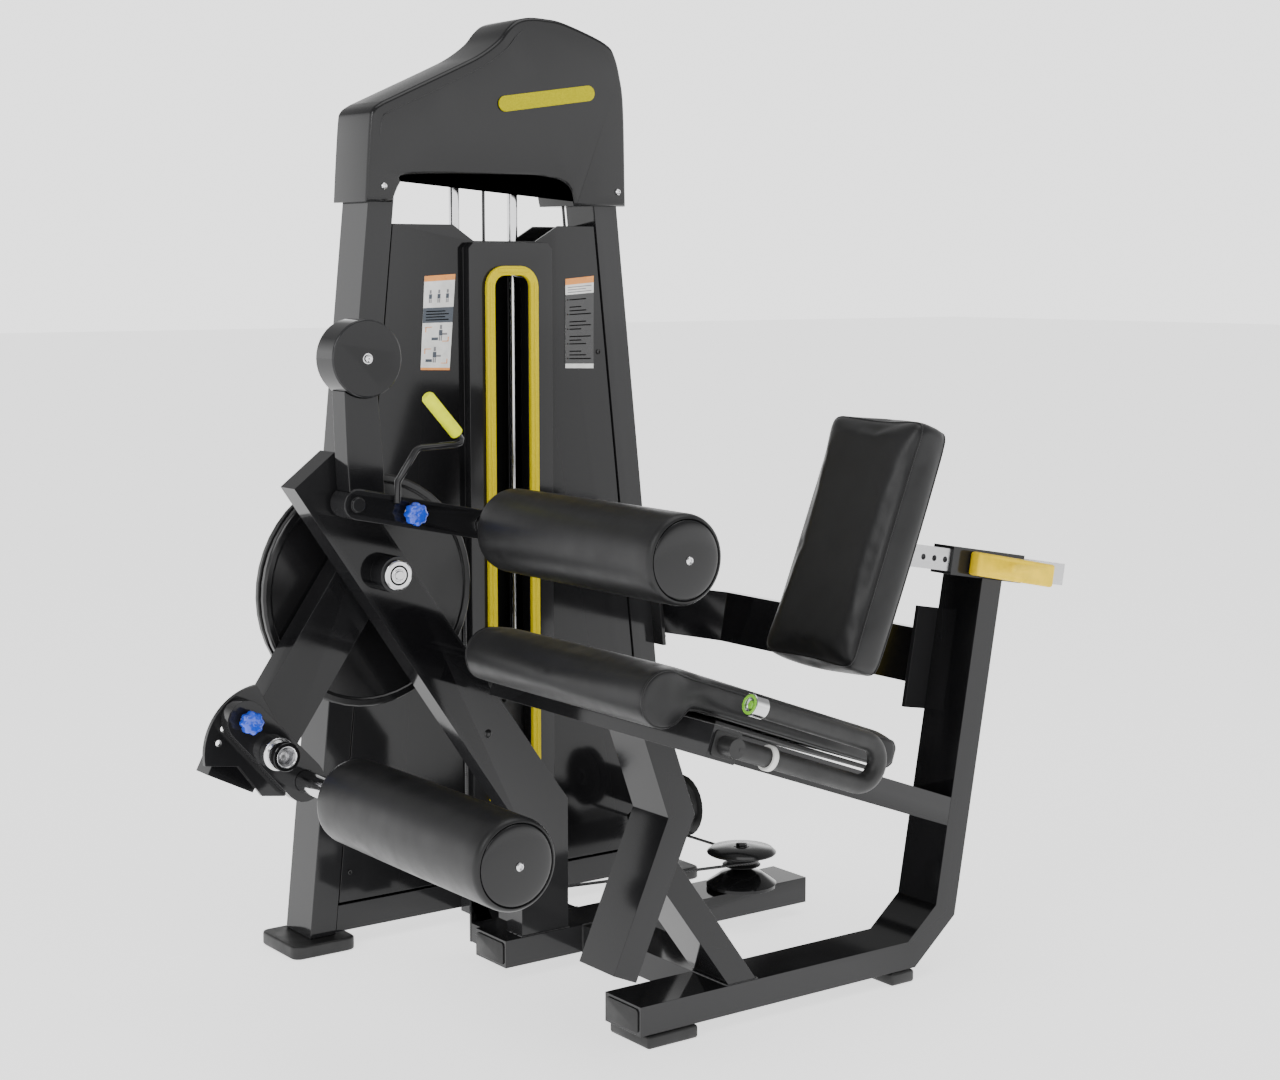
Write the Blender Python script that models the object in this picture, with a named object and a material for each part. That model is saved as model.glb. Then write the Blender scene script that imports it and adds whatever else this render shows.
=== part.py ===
"""Seated leg machine with a weight-stack tower, built in metres with +Z up.

The user sits facing -X, the tower stands on the +Y side, the rollers run
along Y.  Everything is drawn round the middle of the seat and is centred
over the world origin at the end, feet on z = 0.
"""
import math

import bmesh
import bpy
from mathutils import Vector

# ---- driving sizes (metres, radians) ----
TUBE_WIDE = 0.100
TUBE_THIN = 0.050
GAP = 0.0003
FLOOR_LIFT = 0.0235
BASE_FRONT_X = -0.250
BASE_BEND_X = 0.349
COLUMN_LEAN = math.radians(9.8)
COLUMN_TOP_Z = 0.709
CROSS_X0 = -0.236
CROSS_X1 = 0.466
CROSS_Y = 0.376
TOWER_Y = 0.728
TOWER_DEPTH = 0.098
TOWER_MID_X = -0.017
TOWER_FOOT_HALF = 0.426
TOWER_LEAN = math.radians(6.12)
TOWER_POST_TOP = 1.500
COVER_TOP = 1.345
HEAD_Z0 = 1.384
HEAD_DEPTH = 0.113
WINDOW_HALF = 0.040
WINDOW_TOP = 1.250
WINDOW_BOTTOM = 0.255
TRIM_BAND = 0.018
STACK_HALF_X = 0.125
STACK_PLATE = 0.025
STACK_REST_PLATES = 9
STACK_LIFT_PLATES = 6
ROD_SPREAD = 0.0655
ROD_RADIUS = 0.010
SEAT_PITCH = math.radians(20.0)
SEAT_ROLL_X = -0.350
SEAT_ROLL_Z = 0.625
SEAT_ROLL_R = 0.049
SEAT_LENGTH = 0.495
SEAT_HALF = 0.254
SEAT_THICK = 0.055
BACK_LEAN = math.radians(21.5)
BACK_X = 0.206
BACK_Z = 0.807
BACK_LENGTH = 0.450
BACK_WIDTH = 0.245
BACK_THICK = 0.085
ROLLER_RADIUS = 0.0707
ROLLER_HALF = 0.2425
AXLE_RADIUS = 0.019
HUB_X = -0.4646
HUB_Z = 0.7549
ADJUST_X = -0.666
ADJUST_Z = 0.468
SHIN_X = -0.610
SHIN_Z = 0.412
THIGH_PIVOT_X = -0.549
THIGH_PIVOT_Z = 0.880
THIGH_X = -0.305
THIGH_Z = 0.830
CAM_X = -0.430
CAM_Z = 0.708
CAM_RADIUS = 0.205
CABLE_RADIUS = 0.003
HEAD_PULLEY_R = 0.036
HEAD_PULLEY_Z = 1.565
CABLE_DOWN_X = 0.150
GUIDE_X = 0.300
GUIDE_R = 0.056
GUIDE_LOW_Z = 0.147
GUIDE_Y = TOWER_Y - 0.159
FLOOR_PULLEY_X = 0.322
FLOOR_PULLEY_Y = 0.400
FLOOR_PULLEY_Z = 0.128
FLOOR_PULLEY_R = 0.032
CAM_PULLEY_R = 0.045
CAM_PULLEY_Z = 0.158
INNER_PULLEY_R = 0.030
INNER_PULLEY_Y = TOWER_Y + 0.045
WHEEL_BORE = 0.0083
WHEEL_PIN = 0.0080
POST_WALL = 0.0532
AXLE_BORE = 0.0153
PIVOT_BORE = 0.0133
PLATE_HALF_Y = 0.033
STACK_Z0 = 0.110
TOWER_TUBE_TOP = 0.080
BEAM_Z0 = 1.462
BEAM_Z1 = 1.498
SLIDE_Y = -0.020
SLIDE_HALF = 0.020
SLEEVE_HALF = 0.0255
SLEEVE_BORE_HALF = 0.0204
COUNTERWEIGHT = (-0.531, 1.1176, 0.064)

# ---- planes worked from them ----
BASE_MID_Z = FLOOR_LIFT + TUBE_THIN / 2
BASE_TOP = FLOOR_LIFT + TUBE_THIN
HALF_WIDE = TUBE_WIDE / 2
POST_Y0 = CROSS_Y + 0.004
POST_Y1 = POST_Y0 + TUBE_THIN
ARM_Y0 = POST_Y1 + 0.014
ARM_Y1 = ARM_Y0 + TUBE_THIN
CAM_Y0 = ARM_Y1 + 0.003
CAM_Y1 = CAM_Y0 + 0.033
TOWER_Y1 = TOWER_Y + TOWER_DEPTH
TOWER_HEAD_HALF = TOWER_FOOT_HALF - math.tan(TOWER_LEAN) * HEAD_Z0
STACK_Y = TOWER_Y + TOWER_DEPTH / 2
THIGH_ARM_Y1 = POST_Y0 - 0.008
THIGH_ARM_Y0 = THIGH_ARM_Y1 - TUBE_THIN
CAM_CABLE_X = CAM_X + CAM_RADIUS - 0.004 + CAM_PULLEY_R
CAM_CABLE_Y = CAM_Y0 + 0.0175
SECTOR_Y1 = ARM_Y0 - GAP
SECTOR_Y0 = SECTOR_Y1 - 0.008
BRACKET_Y1 = SECTOR_Y0 - 0.001
BRACKET_Y0 = BRACKET_Y1 - 0.027
SEAT_DIR = Vector((math.cos(SEAT_PITCH), 0.0, -math.sin(SEAT_PITCH)))
SEAT_UP = Vector((math.sin(SEAT_PITCH), 0.0, math.cos(SEAT_PITCH)))
SEAT_ORIGIN = Vector((SEAT_ROLL_X, 0.0, SEAT_ROLL_Z))
LEAN_DIR = Vector((math.sin(COLUMN_LEAN), 0.0, math.cos(COLUMN_LEAN)))
LEAN_SIDE = Vector((math.cos(COLUMN_LEAN), 0.0, -math.sin(COLUMN_LEAN)))
COLUMN_FOOT = Vector((BASE_BEND_X + 0.0815, 0.0, BASE_MID_Z + 0.068))
COLUMN_TOP = COLUMN_FOOT + LEAN_DIR * ((COLUMN_TOP_Z - COLUMN_FOOT.z) / LEAN_DIR.z)


def material(name, colour, roughness, metallic):
    mat = bpy.data.materials.new(name)
    mat.use_nodes = True
    shader = mat.node_tree.nodes["Principled BSDF"]
    shader.inputs["Base Color"].default_value = (*colour, 1.0)
    shader.inputs["Roughness"].default_value = roughness
    shader.inputs["Metallic"].default_value = metallic
    mat.diffuse_color = (*colour, 1.0)
    return mat


def clear_scene():
    for obj in list(bpy.data.objects):
        bpy.data.objects.remove(obj, do_unlink=True)


def finish_mesh(name, bm, mat, smooth=False):
    bmesh.ops.remove_doubles(bm, verts=bm.verts, dist=0.00001)
    bmesh.ops.recalc_face_normals(bm, faces=bm.faces)
    mesh = bpy.data.meshes.new(name)
    bm.to_mesh(mesh)
    bm.free()
    for face in mesh.polygons:
        face.use_smooth = smooth
    if smooth:
        mesh.set_sharp_from_angle(angle=math.radians(35))
    obj = bpy.data.objects.new(name, mesh)
    bpy.context.scene.collection.objects.link(obj)
    obj.data.materials.append(mat)
    return obj


def prism(name, outline, y0, y1, mat, smooth=False):
    """Solid with an outline in X and Z, running from y0 to y1."""
    bm = bmesh.new()
    near = [bm.verts.new((x, y0, z)) for x, z in outline]
    far = [bm.verts.new((x, y1, z)) for x, z in outline]
    count = len(outline)
    bm.faces.new(near)
    bm.faces.new(far[::-1])
    for i in range(count):
        j = (i + 1) % count
        bm.faces.new((near[i], far[i], far[j], near[j]))
    return finish_mesh(name, bm, mat, smooth)


def box(name, low, high, mat):
    outline = [(low[0], low[2]), (high[0], low[2]), (high[0], high[2]), (low[0], high[2])]
    return prism(name, outline, low[1], high[1], mat)


def lathe(name, profile, start, direction, mat, sides=32):
    """Turned solid: profile lists (radius, distance along the axis)."""
    axis = Vector(direction).normalized()
    helper = Vector((0.0, 0.0, 1.0)) if abs(axis.z) < 0.9 else Vector((1.0, 0.0, 0.0))
    side = axis.cross(helper).normalized()
    other = axis.cross(side)
    bm = bmesh.new()
    rings = []
    for radius, along in profile:
        centre = Vector(start) + axis * along
        if radius < 1e-7:
            rings.append([bm.verts.new(centre)])
            continue
        ring = []
        for i in range(sides):
            turn = 2.0 * math.pi * i / sides
            spoke = side * math.cos(turn) + other * math.sin(turn)
            ring.append(bm.verts.new(centre + spoke * radius))
        rings.append(ring)
    closed = profile[0][0] > 1e-7
    pairs = list(zip(rings, rings[1:]))
    if closed:
        pairs.append((rings[-1], rings[0]))
    for one, two in pairs:
        for i in range(sides):
            j = (i + 1) % sides
            corners = [one[i % len(one)], one[j % len(one)], two[j % len(two)], two[i % len(two)]]
            unique = []
            for vert in corners:
                if vert not in unique:
                    unique.append(vert)
            if len(unique) > 2:
                bm.faces.new(unique)
    return finish_mesh(name, bm, mat, True)


def rod(name, start, end, radius, mat, sides=24):
    span = Vector(end) - Vector(start)
    profile = [(0, 0), (radius, 0), (radius, span.length), (0, span.length)]
    return lathe(name, profile, start, span, mat, sides)


def ring(name, start, end, outer, inner, mat, sides=32):
    span = Vector(end) - Vector(start)
    profile = [(inner, 0), (outer, 0), (outer, span.length), (inner, span.length)]
    return lathe(name, profile, start, span, mat, sides)


def sweep(name, points, radius, mat, sides=14):
    """Round bar along a bent centre line."""
    bm = bmesh.new()
    points = [Vector(p) for p in points]
    rings = []
    normal = None
    for i, point in enumerate(points):
        before = points[max(i - 1, 0)]
        after = points[min(i + 1, len(points) - 1)]
        tangent = (after - before).normalized()
        if normal is None:
            helper = Vector((0.0, 1.0, 0.0)) if abs(tangent.y) < 0.9 else Vector((0.0, 0.0, 1.0))
            normal = tangent.cross(helper).normalized()
        normal = (normal - tangent * normal.dot(tangent)).normalized()
        other = tangent.cross(normal)
        loop = []
        for k in range(sides):
            turn = 2.0 * math.pi * k / sides
            spoke = normal * math.cos(turn) + other * math.sin(turn)
            loop.append(bm.verts.new(point + spoke * radius))
        rings.append(loop)
    for one, two in zip(rings, rings[1:]):
        for k in range(sides):
            m = (k + 1) % sides
            bm.faces.new((one[k], one[m], two[m], two[k]))
    bm.faces.new(rings[0][::-1])
    bm.faces.new(rings[-1])
    return finish_mesh(name, bm, mat, True)


def combine(obj, other, operation):
    """Exact boolean of two solids, the second one is used up."""
    other.hide_render = True
    other.display_type = "WIRE"
    mod = obj.modifiers.new("cut", "BOOLEAN")
    mod.solver = "EXACT"
    mod.operation = operation
    mod.object = other
    graph = bpy.context.evaluated_depsgraph_get()
    graph.update()
    mesh = bpy.data.meshes.new_from_object(obj.evaluated_get(graph))
    obj.modifiers.clear()
    smooth = obj.data.polygons[0].use_smooth
    obj.data = mesh
    for face in mesh.polygons:
        face.use_smooth = smooth
    bpy.data.objects.remove(other, do_unlink=True)
    return obj


def drill(obj, start, end, radius, sides=20):
    """Round hole between two points."""
    cutter = rod("cutter", start, end, radius, obj.data.materials[0], sides)
    return combine(obj, cutter, "DIFFERENCE")


def drill_y(obj, x, z, y0, y1, radius, sides=24):
    """Round hole along Y, a little longer than the piece it goes through."""
    return drill(obj, (x, y0 - 0.01, z), (x, y1 + 0.01, z), radius, sides)


def join(obj, other):
    return combine(obj, other, "UNION")


def arc(cx, cz, radius, a0, a1, steps):
    points = []
    for i in range(steps + 1):
        turn = math.radians(a0 + (a1 - a0) * i / steps)
        points.append((cx + radius * math.cos(turn), cz + radius * math.sin(turn)))
    return points


def round_corners(corners, radius, steps=4):
    """Outline of a polygon with every corner rounded."""
    out = []
    count = len(corners)
    for i in range(count):
        here = Vector(corners[i])
        before = (Vector(corners[i - 1]) - here)
        after = (Vector(corners[(i + 1) % count]) - here)
        reach = min(radius, before.length * 0.45, after.length * 0.45)
        one = here + before.normalized() * reach
        two = here + after.normalized() * reach
        for k in range(steps + 1):
            t = k / steps
            point = one * (1 - t) ** 2 + here * (2 * t * (1 - t)) + two * t ** 2
            out.append((point.x, point.y))
    return out


def hull_of_circles(x0, z0, r0, x1, z1, r1, steps=10):
    """Outline of a flat link with round ends."""
    angle = math.degrees(math.atan2(z1 - z0, x1 - x0))
    length = math.hypot(x1 - x0, z1 - z0)
    tilt = math.degrees(math.asin((r0 - r1) / length))
    first = arc(x0, z0, r0, angle + 90 - tilt, angle + 270 + tilt, steps)
    second = arc(x1, z1, r1, angle - 90 + tilt, angle + 90 - tilt, steps)
    return first + second


def bent_bar(name, points, width, mat):
    """Rectangular tube along a bent line in X and Z, width across Y."""
    half = TUBE_THIN / 2
    left, right = [], []
    count = len(points)
    for i in range(count):
        here = Vector(points[i])
        into = (here - Vector(points[i - 1])).normalized() if i else None
        out = (Vector(points[i + 1]) - here).normalized() if i < count - 1 else None
        one = into if into is not None else out
        two = out if out is not None else into
        mid = (one + two).normalized()
        side = Vector((-mid.y, mid.x))
        reach = half / max(side.dot(Vector((-one.y, one.x))), 0.2)
        left.append(here + side * reach)
        right.append(here - side * reach)
    outline = [(p.x, p.y) for p in left + right[::-1]]
    return prism(name, outline, -width / 2, width / 2, mat)


def seat_point(along, up, y):
    point = SEAT_ORIGIN + SEAT_DIR * along + SEAT_UP * up
    return (point.x, y, point.z)


def seat_prism(name, corners, y0, y1, mat, smooth=False):
    outline = [(seat_point(s, n, 0)[0], seat_point(s, n, 0)[2]) for s, n in corners]
    return prism(name, outline, y0, y1, mat, smooth)


def rounded_edges(obj, width, segments=3):
    """Rounded edges, applied at once."""
    mod = obj.modifiers.new("edge", "BEVEL")
    mod.width = width
    mod.segments = segments
    mod.limit_method = "ANGLE"
    mod.angle_limit = math.radians(40)
    graph = bpy.context.evaluated_depsgraph_get()
    graph.update()
    mesh = bpy.data.meshes.new_from_object(obj.evaluated_get(graph))
    obj.modifiers.clear()
    obj.data = mesh
    return obj


def put_origin(obj, point):
    """Move the object's own origin onto a point without moving its surface."""
    shift = Vector(point)
    for vert in obj.data.vertices:
        vert.co -= shift
    obj.location = shift
    return obj


# ---- colours ----
def make_materials():
    return {
        "frame": material("frame_black_paint", (0.030, 0.030, 0.032), 0.22, 0.0),
        "cover": material("cover_black_plastic", (0.024, 0.024, 0.026), 0.18, 0.0),
        "pad": material("black_upholstery", (0.022, 0.022, 0.022), 0.55, 0.0),
        "rubber": material("black_rubber", (0.018, 0.018, 0.018), 0.6, 0.0),
        "iron": material("cast_weight", (0.03, 0.03, 0.032), 0.45, 0.0),
        "steel": material("bright_steel", (0.62, 0.62, 0.62), 0.25, 1.0),
        "yellow": material("yellow_trim", (0.60, 0.53, 0.06), 0.35, 0.0),
        "badge": material("olive_yellow", (0.42, 0.42, 0.03), 0.40, 0.0),
        "lemon": material("lemon_grip", (0.78, 0.80, 0.0), 0.40, 0.0),
        "lever": material("yellow_lever", (0.80, 0.66, 0.02), 0.35, 0.0),
        "blue": material("blue_knob", (0.01, 0.08, 0.75), 0.25, 0.0),
        "cable": material("coated_cable", (0.02, 0.02, 0.02), 0.35, 0.0),
    }


# ---- frame ----
def tower_edge(side, z, inset=0.0):
    """X of a tower post's outer face at height z, moved in by inset."""
    half = TOWER_FOOT_HALF - math.tan(TOWER_LEAN) * z - inset
    return TOWER_MID_X + side * half


def build_floor_frame(m):
    base = [(BASE_FRONT_X, BASE_MID_Z), (BASE_BEND_X, BASE_MID_Z)]
    base += [(COLUMN_FOOT.x, COLUMN_FOOT.z), (COLUMN_TOP.x, COLUMN_TOP.z)]
    bent_bar("base_and_column", base, TUBE_WIDE, m["frame"])
    low = (CROSS_X0, CROSS_Y, FLOOR_LIFT)
    crossbar = box("floor_crossbar", low, (CROSS_X1, CROSS_Y + TUBE_WIDE, BASE_TOP), m["frame"])
    near_x = -0.069
    rear_x = -0.113
    rear_y = CROSS_Y + TUBE_WIDE - 0.001
    ties = [
        ((near_x, HALF_WIDE + GAP, FLOOR_LIFT), (near_x + TUBE_WIDE, CROSS_Y + 0.001, BASE_TOP)),
        ((rear_x, rear_y, FLOOR_LIFT), (rear_x + TUBE_WIDE, TOWER_Y - GAP, BASE_TOP)),
    ]
    for corner, opposite in ties:
        join(crossbar, box("cutter", corner, opposite, m["frame"]))
    feet = [("front_foot", -0.238, -0.135), ("rear_foot", 0.298, 0.352)]
    for name, x0, x1 in feet:
        obj = box(name, (x0, -0.055, 0.0), (x1, 0.055, FLOOR_LIFT - GAP), m["rubber"])
        rounded_edges(obj, 0.005, 2)


def between_posts(z0, z1):
    """Outline of a bar that fits between the two leaning posts."""
    slack = POST_WALL + GAP * 2
    outline = [(tower_edge(-1, z, slack), z) for z in (z0, z1)]
    return outline + [(tower_edge(1, z, slack), z) for z in (z1, z0)]


def build_tower_foot(name, side, lift, m):
    middle = tower_edge(side, 0.0, 0.02)
    y0, y1 = TOWER_Y - 0.03, TOWER_Y1 + 0.015
    x0, x1 = middle - 0.065, middle + 0.065
    outline = round_corners([(x0, y0), (x1, y0), (x1, y1), (x0, y1)], 0.02)
    foot = prism(name, outline, 0.0, lift - GAP, m["rubber"])
    for vert in foot.data.vertices:
        vert.co = Vector((vert.co.x, vert.co.z, vert.co.y))
    foot.data.flip_normals()


def build_tower(m):
    lift = FLOOR_LIFT + 0.002
    for label, side in (("left", -1), ("right", 1)):
        outline = [
            (tower_edge(side, lift), lift),
            (tower_edge(side, lift, POST_WALL), lift),
            (tower_edge(side, TOWER_POST_TOP, POST_WALL), TOWER_POST_TOP),
            (tower_edge(side, TOWER_POST_TOP), TOWER_POST_TOP),
        ]
        prism("tower_" + label + "_post", outline, TOWER_Y, TOWER_Y1, m["frame"])
        build_tower_foot("tower_" + label + "_foot", side, lift, m)
    low_tube = between_posts(TOWER_TUBE_TOP - TUBE_THIN, TOWER_TUBE_TOP)
    prism("tower_base_tube", low_tube, TOWER_Y, TOWER_Y1, m["frame"])
    y0, y1 = TOWER_Y + 0.012, TOWER_Y1 - 0.012
    beam = prism("tower_top_beam", between_posts(BEAM_Z0, BEAM_Z1), y0, y1, m["frame"])
    for x in (TOWER_MID_X, CABLE_DOWN_X + 0.009):
        drill(beam, (x, STACK_Y, BEAM_Z0 - 0.01), (x, STACK_Y, BEAM_Z1 + 0.01), 0.012, 16)
    for label, side in (("left", -1), ("right", 1)):
        x = TOWER_MID_X + side * ROD_SPREAD
        low = (x, STACK_Y, TOWER_TUBE_TOP + GAP)
        rod(label + "_guide_rod", low, (x, STACK_Y, BEAM_Z0 - GAP), ROD_RADIUS, m["steel"], 20)


# Outline of the head cover, clockwise from its lower left corner.  Each point is
# set out from the left post's outer face (-1), the middle (0) or the right post's (1).
HEAD_SHAPE = [
    (-1, -0.0099, HEAD_Z0), (-1, 0.0011, 1.54), (-1, 0.0066, 1.552), (-1, 0.0196, 1.5605),
    (-1, 0.0526, 1.576), (0, -0.0870, 1.638), (0, -0.0400, 1.661), (0, -0.0010, 1.688),
    (0, 0.0210, 1.712), (0, 0.0410, 1.727), (0, 0.0700, 1.735), (0, 0.1070, 1.7345),
    (0, 0.1460, 1.73), (1, -0.0616, 1.709), (1, -0.0246, 1.693), (1, -0.0106, 1.677),
    (1, 0.0024, 1.639), (1, 0.0124, 1.572), (1, 0.0164, HEAD_Z0), (0, 0.1720, HEAD_Z0),
    (0, 0.1630, 1.414), (0, 0.1410, 1.43), (0, 0.1090, 1.436), (0, 0.0520, 1.439),
    (-1, 0.0886, 1.434), (-1, 0.0626, 1.418), (-1, 0.0456, HEAD_Z0),
]
# Outline of the hollow behind its front wall, open at the bottom.
HEAD_POCKET = [
    (-1, -0.0019, HEAD_Z0 - 0.02), (-1, 0.0086, 1.536), (-1, 0.0136, 1.545),
    (-1, 0.0246, 1.552), (0, -0.0830, 1.63), (0, -0.0350, 1.654), (0, 0.0040, 1.681),
    (0, 0.0260, 1.705), (0, 0.0450, 1.719), (0, 0.0710, 1.727), (0, 0.1070, 1.7265),
    (0, 0.1450, 1.722), (1, -0.0646, 1.701), (1, -0.0306, 1.686), (1, -0.0176, 1.671),
    (1, -0.0056, 1.637), (1, 0.0044, 1.571), (1, 0.0084, HEAD_Z0 - 0.02),
]


def head_outline(points):
    """Outline in X and Z of points set out from the tower's posts."""
    return [(TOWER_MID_X + side * TOWER_HEAD_HALF + offset, z) for side, offset, z in points]


def build_head(m):
    y0 = TOWER_Y - 0.012
    y1 = y0 + HEAD_DEPTH + 0.012
    shell = prism("head_cover", head_outline(HEAD_SHAPE), y0, y1, m["cover"])
    hollow = head_outline(HEAD_POCKET)
    pocket = prism("cutter", hollow, y0 + 0.010, y1 - 0.006, m["cover"])
    combine(shell, pocket, "DIFFERENCE")
    badge = hull_of_circles(-0.006, 1.571, 0.0148, 0.184, 1.599, 0.0148, 10)
    prism("head_badge", badge, y0 - 0.004, y0 - GAP, m["badge"])


def cover_outline():
    """Panel between the posts, its top edge dipping in the middle."""
    slack = POST_WALL + 0.003
    z0 = TOWER_TUBE_TOP + 0.004
    top = COVER_TOP
    outline = [(tower_edge(-1, z0, slack), z0), (tower_edge(-1, top, slack), top)]
    outline += [(-0.114, top), (-0.068, top - 0.030), (0.072, top - 0.030), (0.124, top)]
    outline += [(tower_edge(1, top, slack), top), (tower_edge(1, z0, slack), z0)]
    return outline[::-1]


def window_outline(grow):
    """Tall window with rounded top corners, made larger all round by grow."""
    half = WINDOW_HALF + grow
    top = WINDOW_TOP + grow
    radius = min(0.022 + grow, half)
    right = arc(half - radius, top - radius, radius, 0, 90, 6)
    left = arc(radius - half, top - radius, radius, 90, 180, 6)
    low = WINDOW_BOTTOM - grow
    return [(half, low)] + right + left + [(-half, low)]


def build_covers(m):
    front = TOWER_Y + 0.0025
    cover = prism("front_cover", cover_outline(), front, front + 0.006, m["cover"])
    x0, x1 = -0.092, 0.096
    z0, z1 = 0.090, 1.312
    chamfer = 0.010
    ridge = [(x0, z0), (x1, z0), (x1, z1 - chamfer), (x1 - chamfer, z1)]
    ridge += [(x0 + chamfer, z1), (x0, z1 - chamfer)]
    ridge_y = TOWER_Y - 0.018
    join(cover, prism("cutter", ridge, ridge_y, front + 0.005, m["cover"]))
    hole = prism("cutter", window_outline(0), TOWER_Y - 0.05, TOWER_Y + 0.05, m["cover"])
    combine(cover, hole, "DIFFERENCE")
    drill_y(cover, GUIDE_X, GUIDE_LOW_Z, TOWER_Y - 0.01, TOWER_Y + 0.02, 0.011, 16)
    prism("rear_cover", cover_outline(), TOWER_Y1 - 0.009, TOWER_Y1 - 0.003, m["cover"])
    y1 = ridge_y - GAP
    trim = prism("window_trim", window_outline(TRIM_BAND), y1 - 0.010, y1, m["yellow"])
    hole = prism("cutter", window_outline(0), y1 - 0.03, y1 + 0.01, m["yellow"])
    combine(trim, hole, "DIFFERENCE")


def plate_block(name, count, z0, m):
    """Stacked plates in one piece, a groove round the sides between them."""
    half = STACK_HALF_X
    groove = 0.0015
    depth = 0.003
    outline = []
    for i in range(count):
        low = z0 + i * STACK_PLATE
        high = low + STACK_PLATE
        outline += [(TOWER_MID_X + half, low + groove), (TOWER_MID_X + half, high - groove)]
        if i < count - 1:
            inner = TOWER_MID_X + half - depth
            outline += [(inner, high - groove), (inner, high + groove)]
    mirror = [(2 * TOWER_MID_X - x, z) for x, z in outline]
    y0, y1 = STACK_Y - PLATE_HALF_Y, STACK_Y + PLATE_HALF_Y
    block = prism(name, outline + mirror[::-1], y0, y1, m["iron"])
    top = z0 + count * STACK_PLATE
    for side in (-1, 1):
        x = TOWER_MID_X + side * ROD_SPREAD
        drill(block, (x, STACK_Y, z0 - 0.01), (x, STACK_Y, top + 0.01), ROD_RADIUS + 0.001)
    return block


def build_selector(block, z, m):
    y = STACK_Y - PLATE_HALF_Y
    drill(block, (0.0, y - 0.01, z), (0.0, y + 0.031, z), 0.0055, 16)
    shape = [(0, 0), (0.011, 0.003), (0.012, 0.012), (0.007, 0.016), (0.005, 0.018)]
    shape += [(0.005, 0.058), (0, 0.058)]
    pin = lathe("selector_pin", shape, (0.0, y - 0.030, z), (0, 1, 0), m["lever"], 20)
    put_origin(pin, (0.0, y, z))


def build_stack_head(z, m):
    """Top plate with a boss round each guide rod and the cable's socket."""
    low = (TOWER_MID_X - 0.115, STACK_Y - 0.030, z)
    head = box("stack_top_plate", low, (TOWER_MID_X + 0.115, STACK_Y + 0.030, z + 0.030), m["iron"])
    places = [TOWER_MID_X + side * ROD_SPREAD for side in (-1, 1)]
    for x in places:
        boss = rod("cutter", (x, STACK_Y, z + 0.021), (x, STACK_Y, z + 0.060), 0.018, m["iron"], 22)
        join(head, boss)
    top = z + 0.055
    socket_low = (TOWER_MID_X, STACK_Y, z + 0.02)
    join(head, rod("cutter", socket_low, (TOWER_MID_X, STACK_Y, top), 0.010, m["iron"], 18))
    for x in places:
        drill(head, (x, STACK_Y, z - 0.013), (x, STACK_Y, z + 0.08), ROD_RADIUS + 0.001)
    return top


def build_stack(m):
    """Plates, selector and top plate; gives back the height of the cable's end."""
    plate_block("resting_plates", STACK_REST_PLATES, STACK_Z0, m)
    split = STACK_Z0 + STACK_REST_PLATES * STACK_PLATE
    lifted = plate_block("lifted_plates", STACK_LIFT_PLATES, split, m)
    build_selector(lifted, split + STACK_PLATE / 2, m)
    for label, side in (("left", -1), ("right", 1)):
        x = TOWER_MID_X + side * ROD_SPREAD
        low = (x, STACK_Y, TOWER_TUBE_TOP + GAP)
        high = (x, STACK_Y, STACK_Z0 + 0.0012)
        ring(label + "_stack_buffer", low, high, 0.022, ROD_RADIUS + 0.0004, m["rubber"], 20)
    return build_stack_head(split + STACK_LIFT_PLATES * STACK_PLATE + GAP, m)


# ---- seat ----
def build_seat_frame(m):
    """Sloping rail, bent post, brace and handle crossbar welded into one piece."""
    rail_start = 0.118
    rail_top = SEAT_ROLL_R - SEAT_THICK - 0.0085
    rail_low = rail_top - TUBE_THIN
    column = COLUMN_FOOT - LEAN_SIDE * (TUBE_THIN / 2 + GAP)
    ends = []
    for height in (rail_low, rail_top):
        point = Vector(seat_point(rail_start, height, 0))
        hit = point + SEAT_DIR * ((column - point).dot(LEAN_SIDE) / SEAT_DIR.dot(LEAN_SIDE))
        ends.append(((point.x, point.z), (hit.x, hit.z)))
    rail = [ends[0][0], ends[0][1], ends[1][1], ends[1][0]]
    support = prism("seat_frame", rail, -HALF_WIDE, HALF_WIDE, m["frame"])
    start_x, start_z = ends[0][0]

    def rail_under(x):
        return start_z - math.tan(SEAT_PITCH) * (x - start_x) + 0.001
    foot_out = (-0.2583, 0.1164)
    foot_in = (-0.3029, 0.1358)
    knee_out = (-0.1394, 0.3787)
    knee_in = (-0.1935, 0.380)
    outline = [foot_out, knee_out, (-0.1815, rail_under(-0.1815))]
    outline += [(-0.2430, rail_under(-0.2430)), knee_in, foot_in]
    inset = 0.001
    join(support, prism("cutter", outline, inset - HALF_WIDE, HALF_WIDE - inset, m["frame"]))
    leg = Vector(knee_out) - Vector(foot_out)
    into_post = Vector((-leg.y, leg.x)).normalized() * inset
    upper = Vector(foot_out) + leg * 0.712 + into_post
    lower = Vector(foot_out) + leg * 0.520 + into_post
    floor = BASE_TOP + GAP
    brace = [(lower.x, lower.y), (-0.066, floor), (-0.007, floor), (upper.x, upper.y)]
    inset = 0.002
    join(support, prism("cutter", brace, inset - HALF_WIDE, HALF_WIDE - inset, m["frame"]))
    bar_low = rail_low - 0.0015
    bar_top = rail_top - 0.001
    bar = [(0.062, bar_low), (0.1190, bar_low), (0.1190, bar_top), (0.062, bar_top)]
    join(support, seat_prism("cutter", bar, -0.300, 0.300, m["frame"]))


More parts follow.
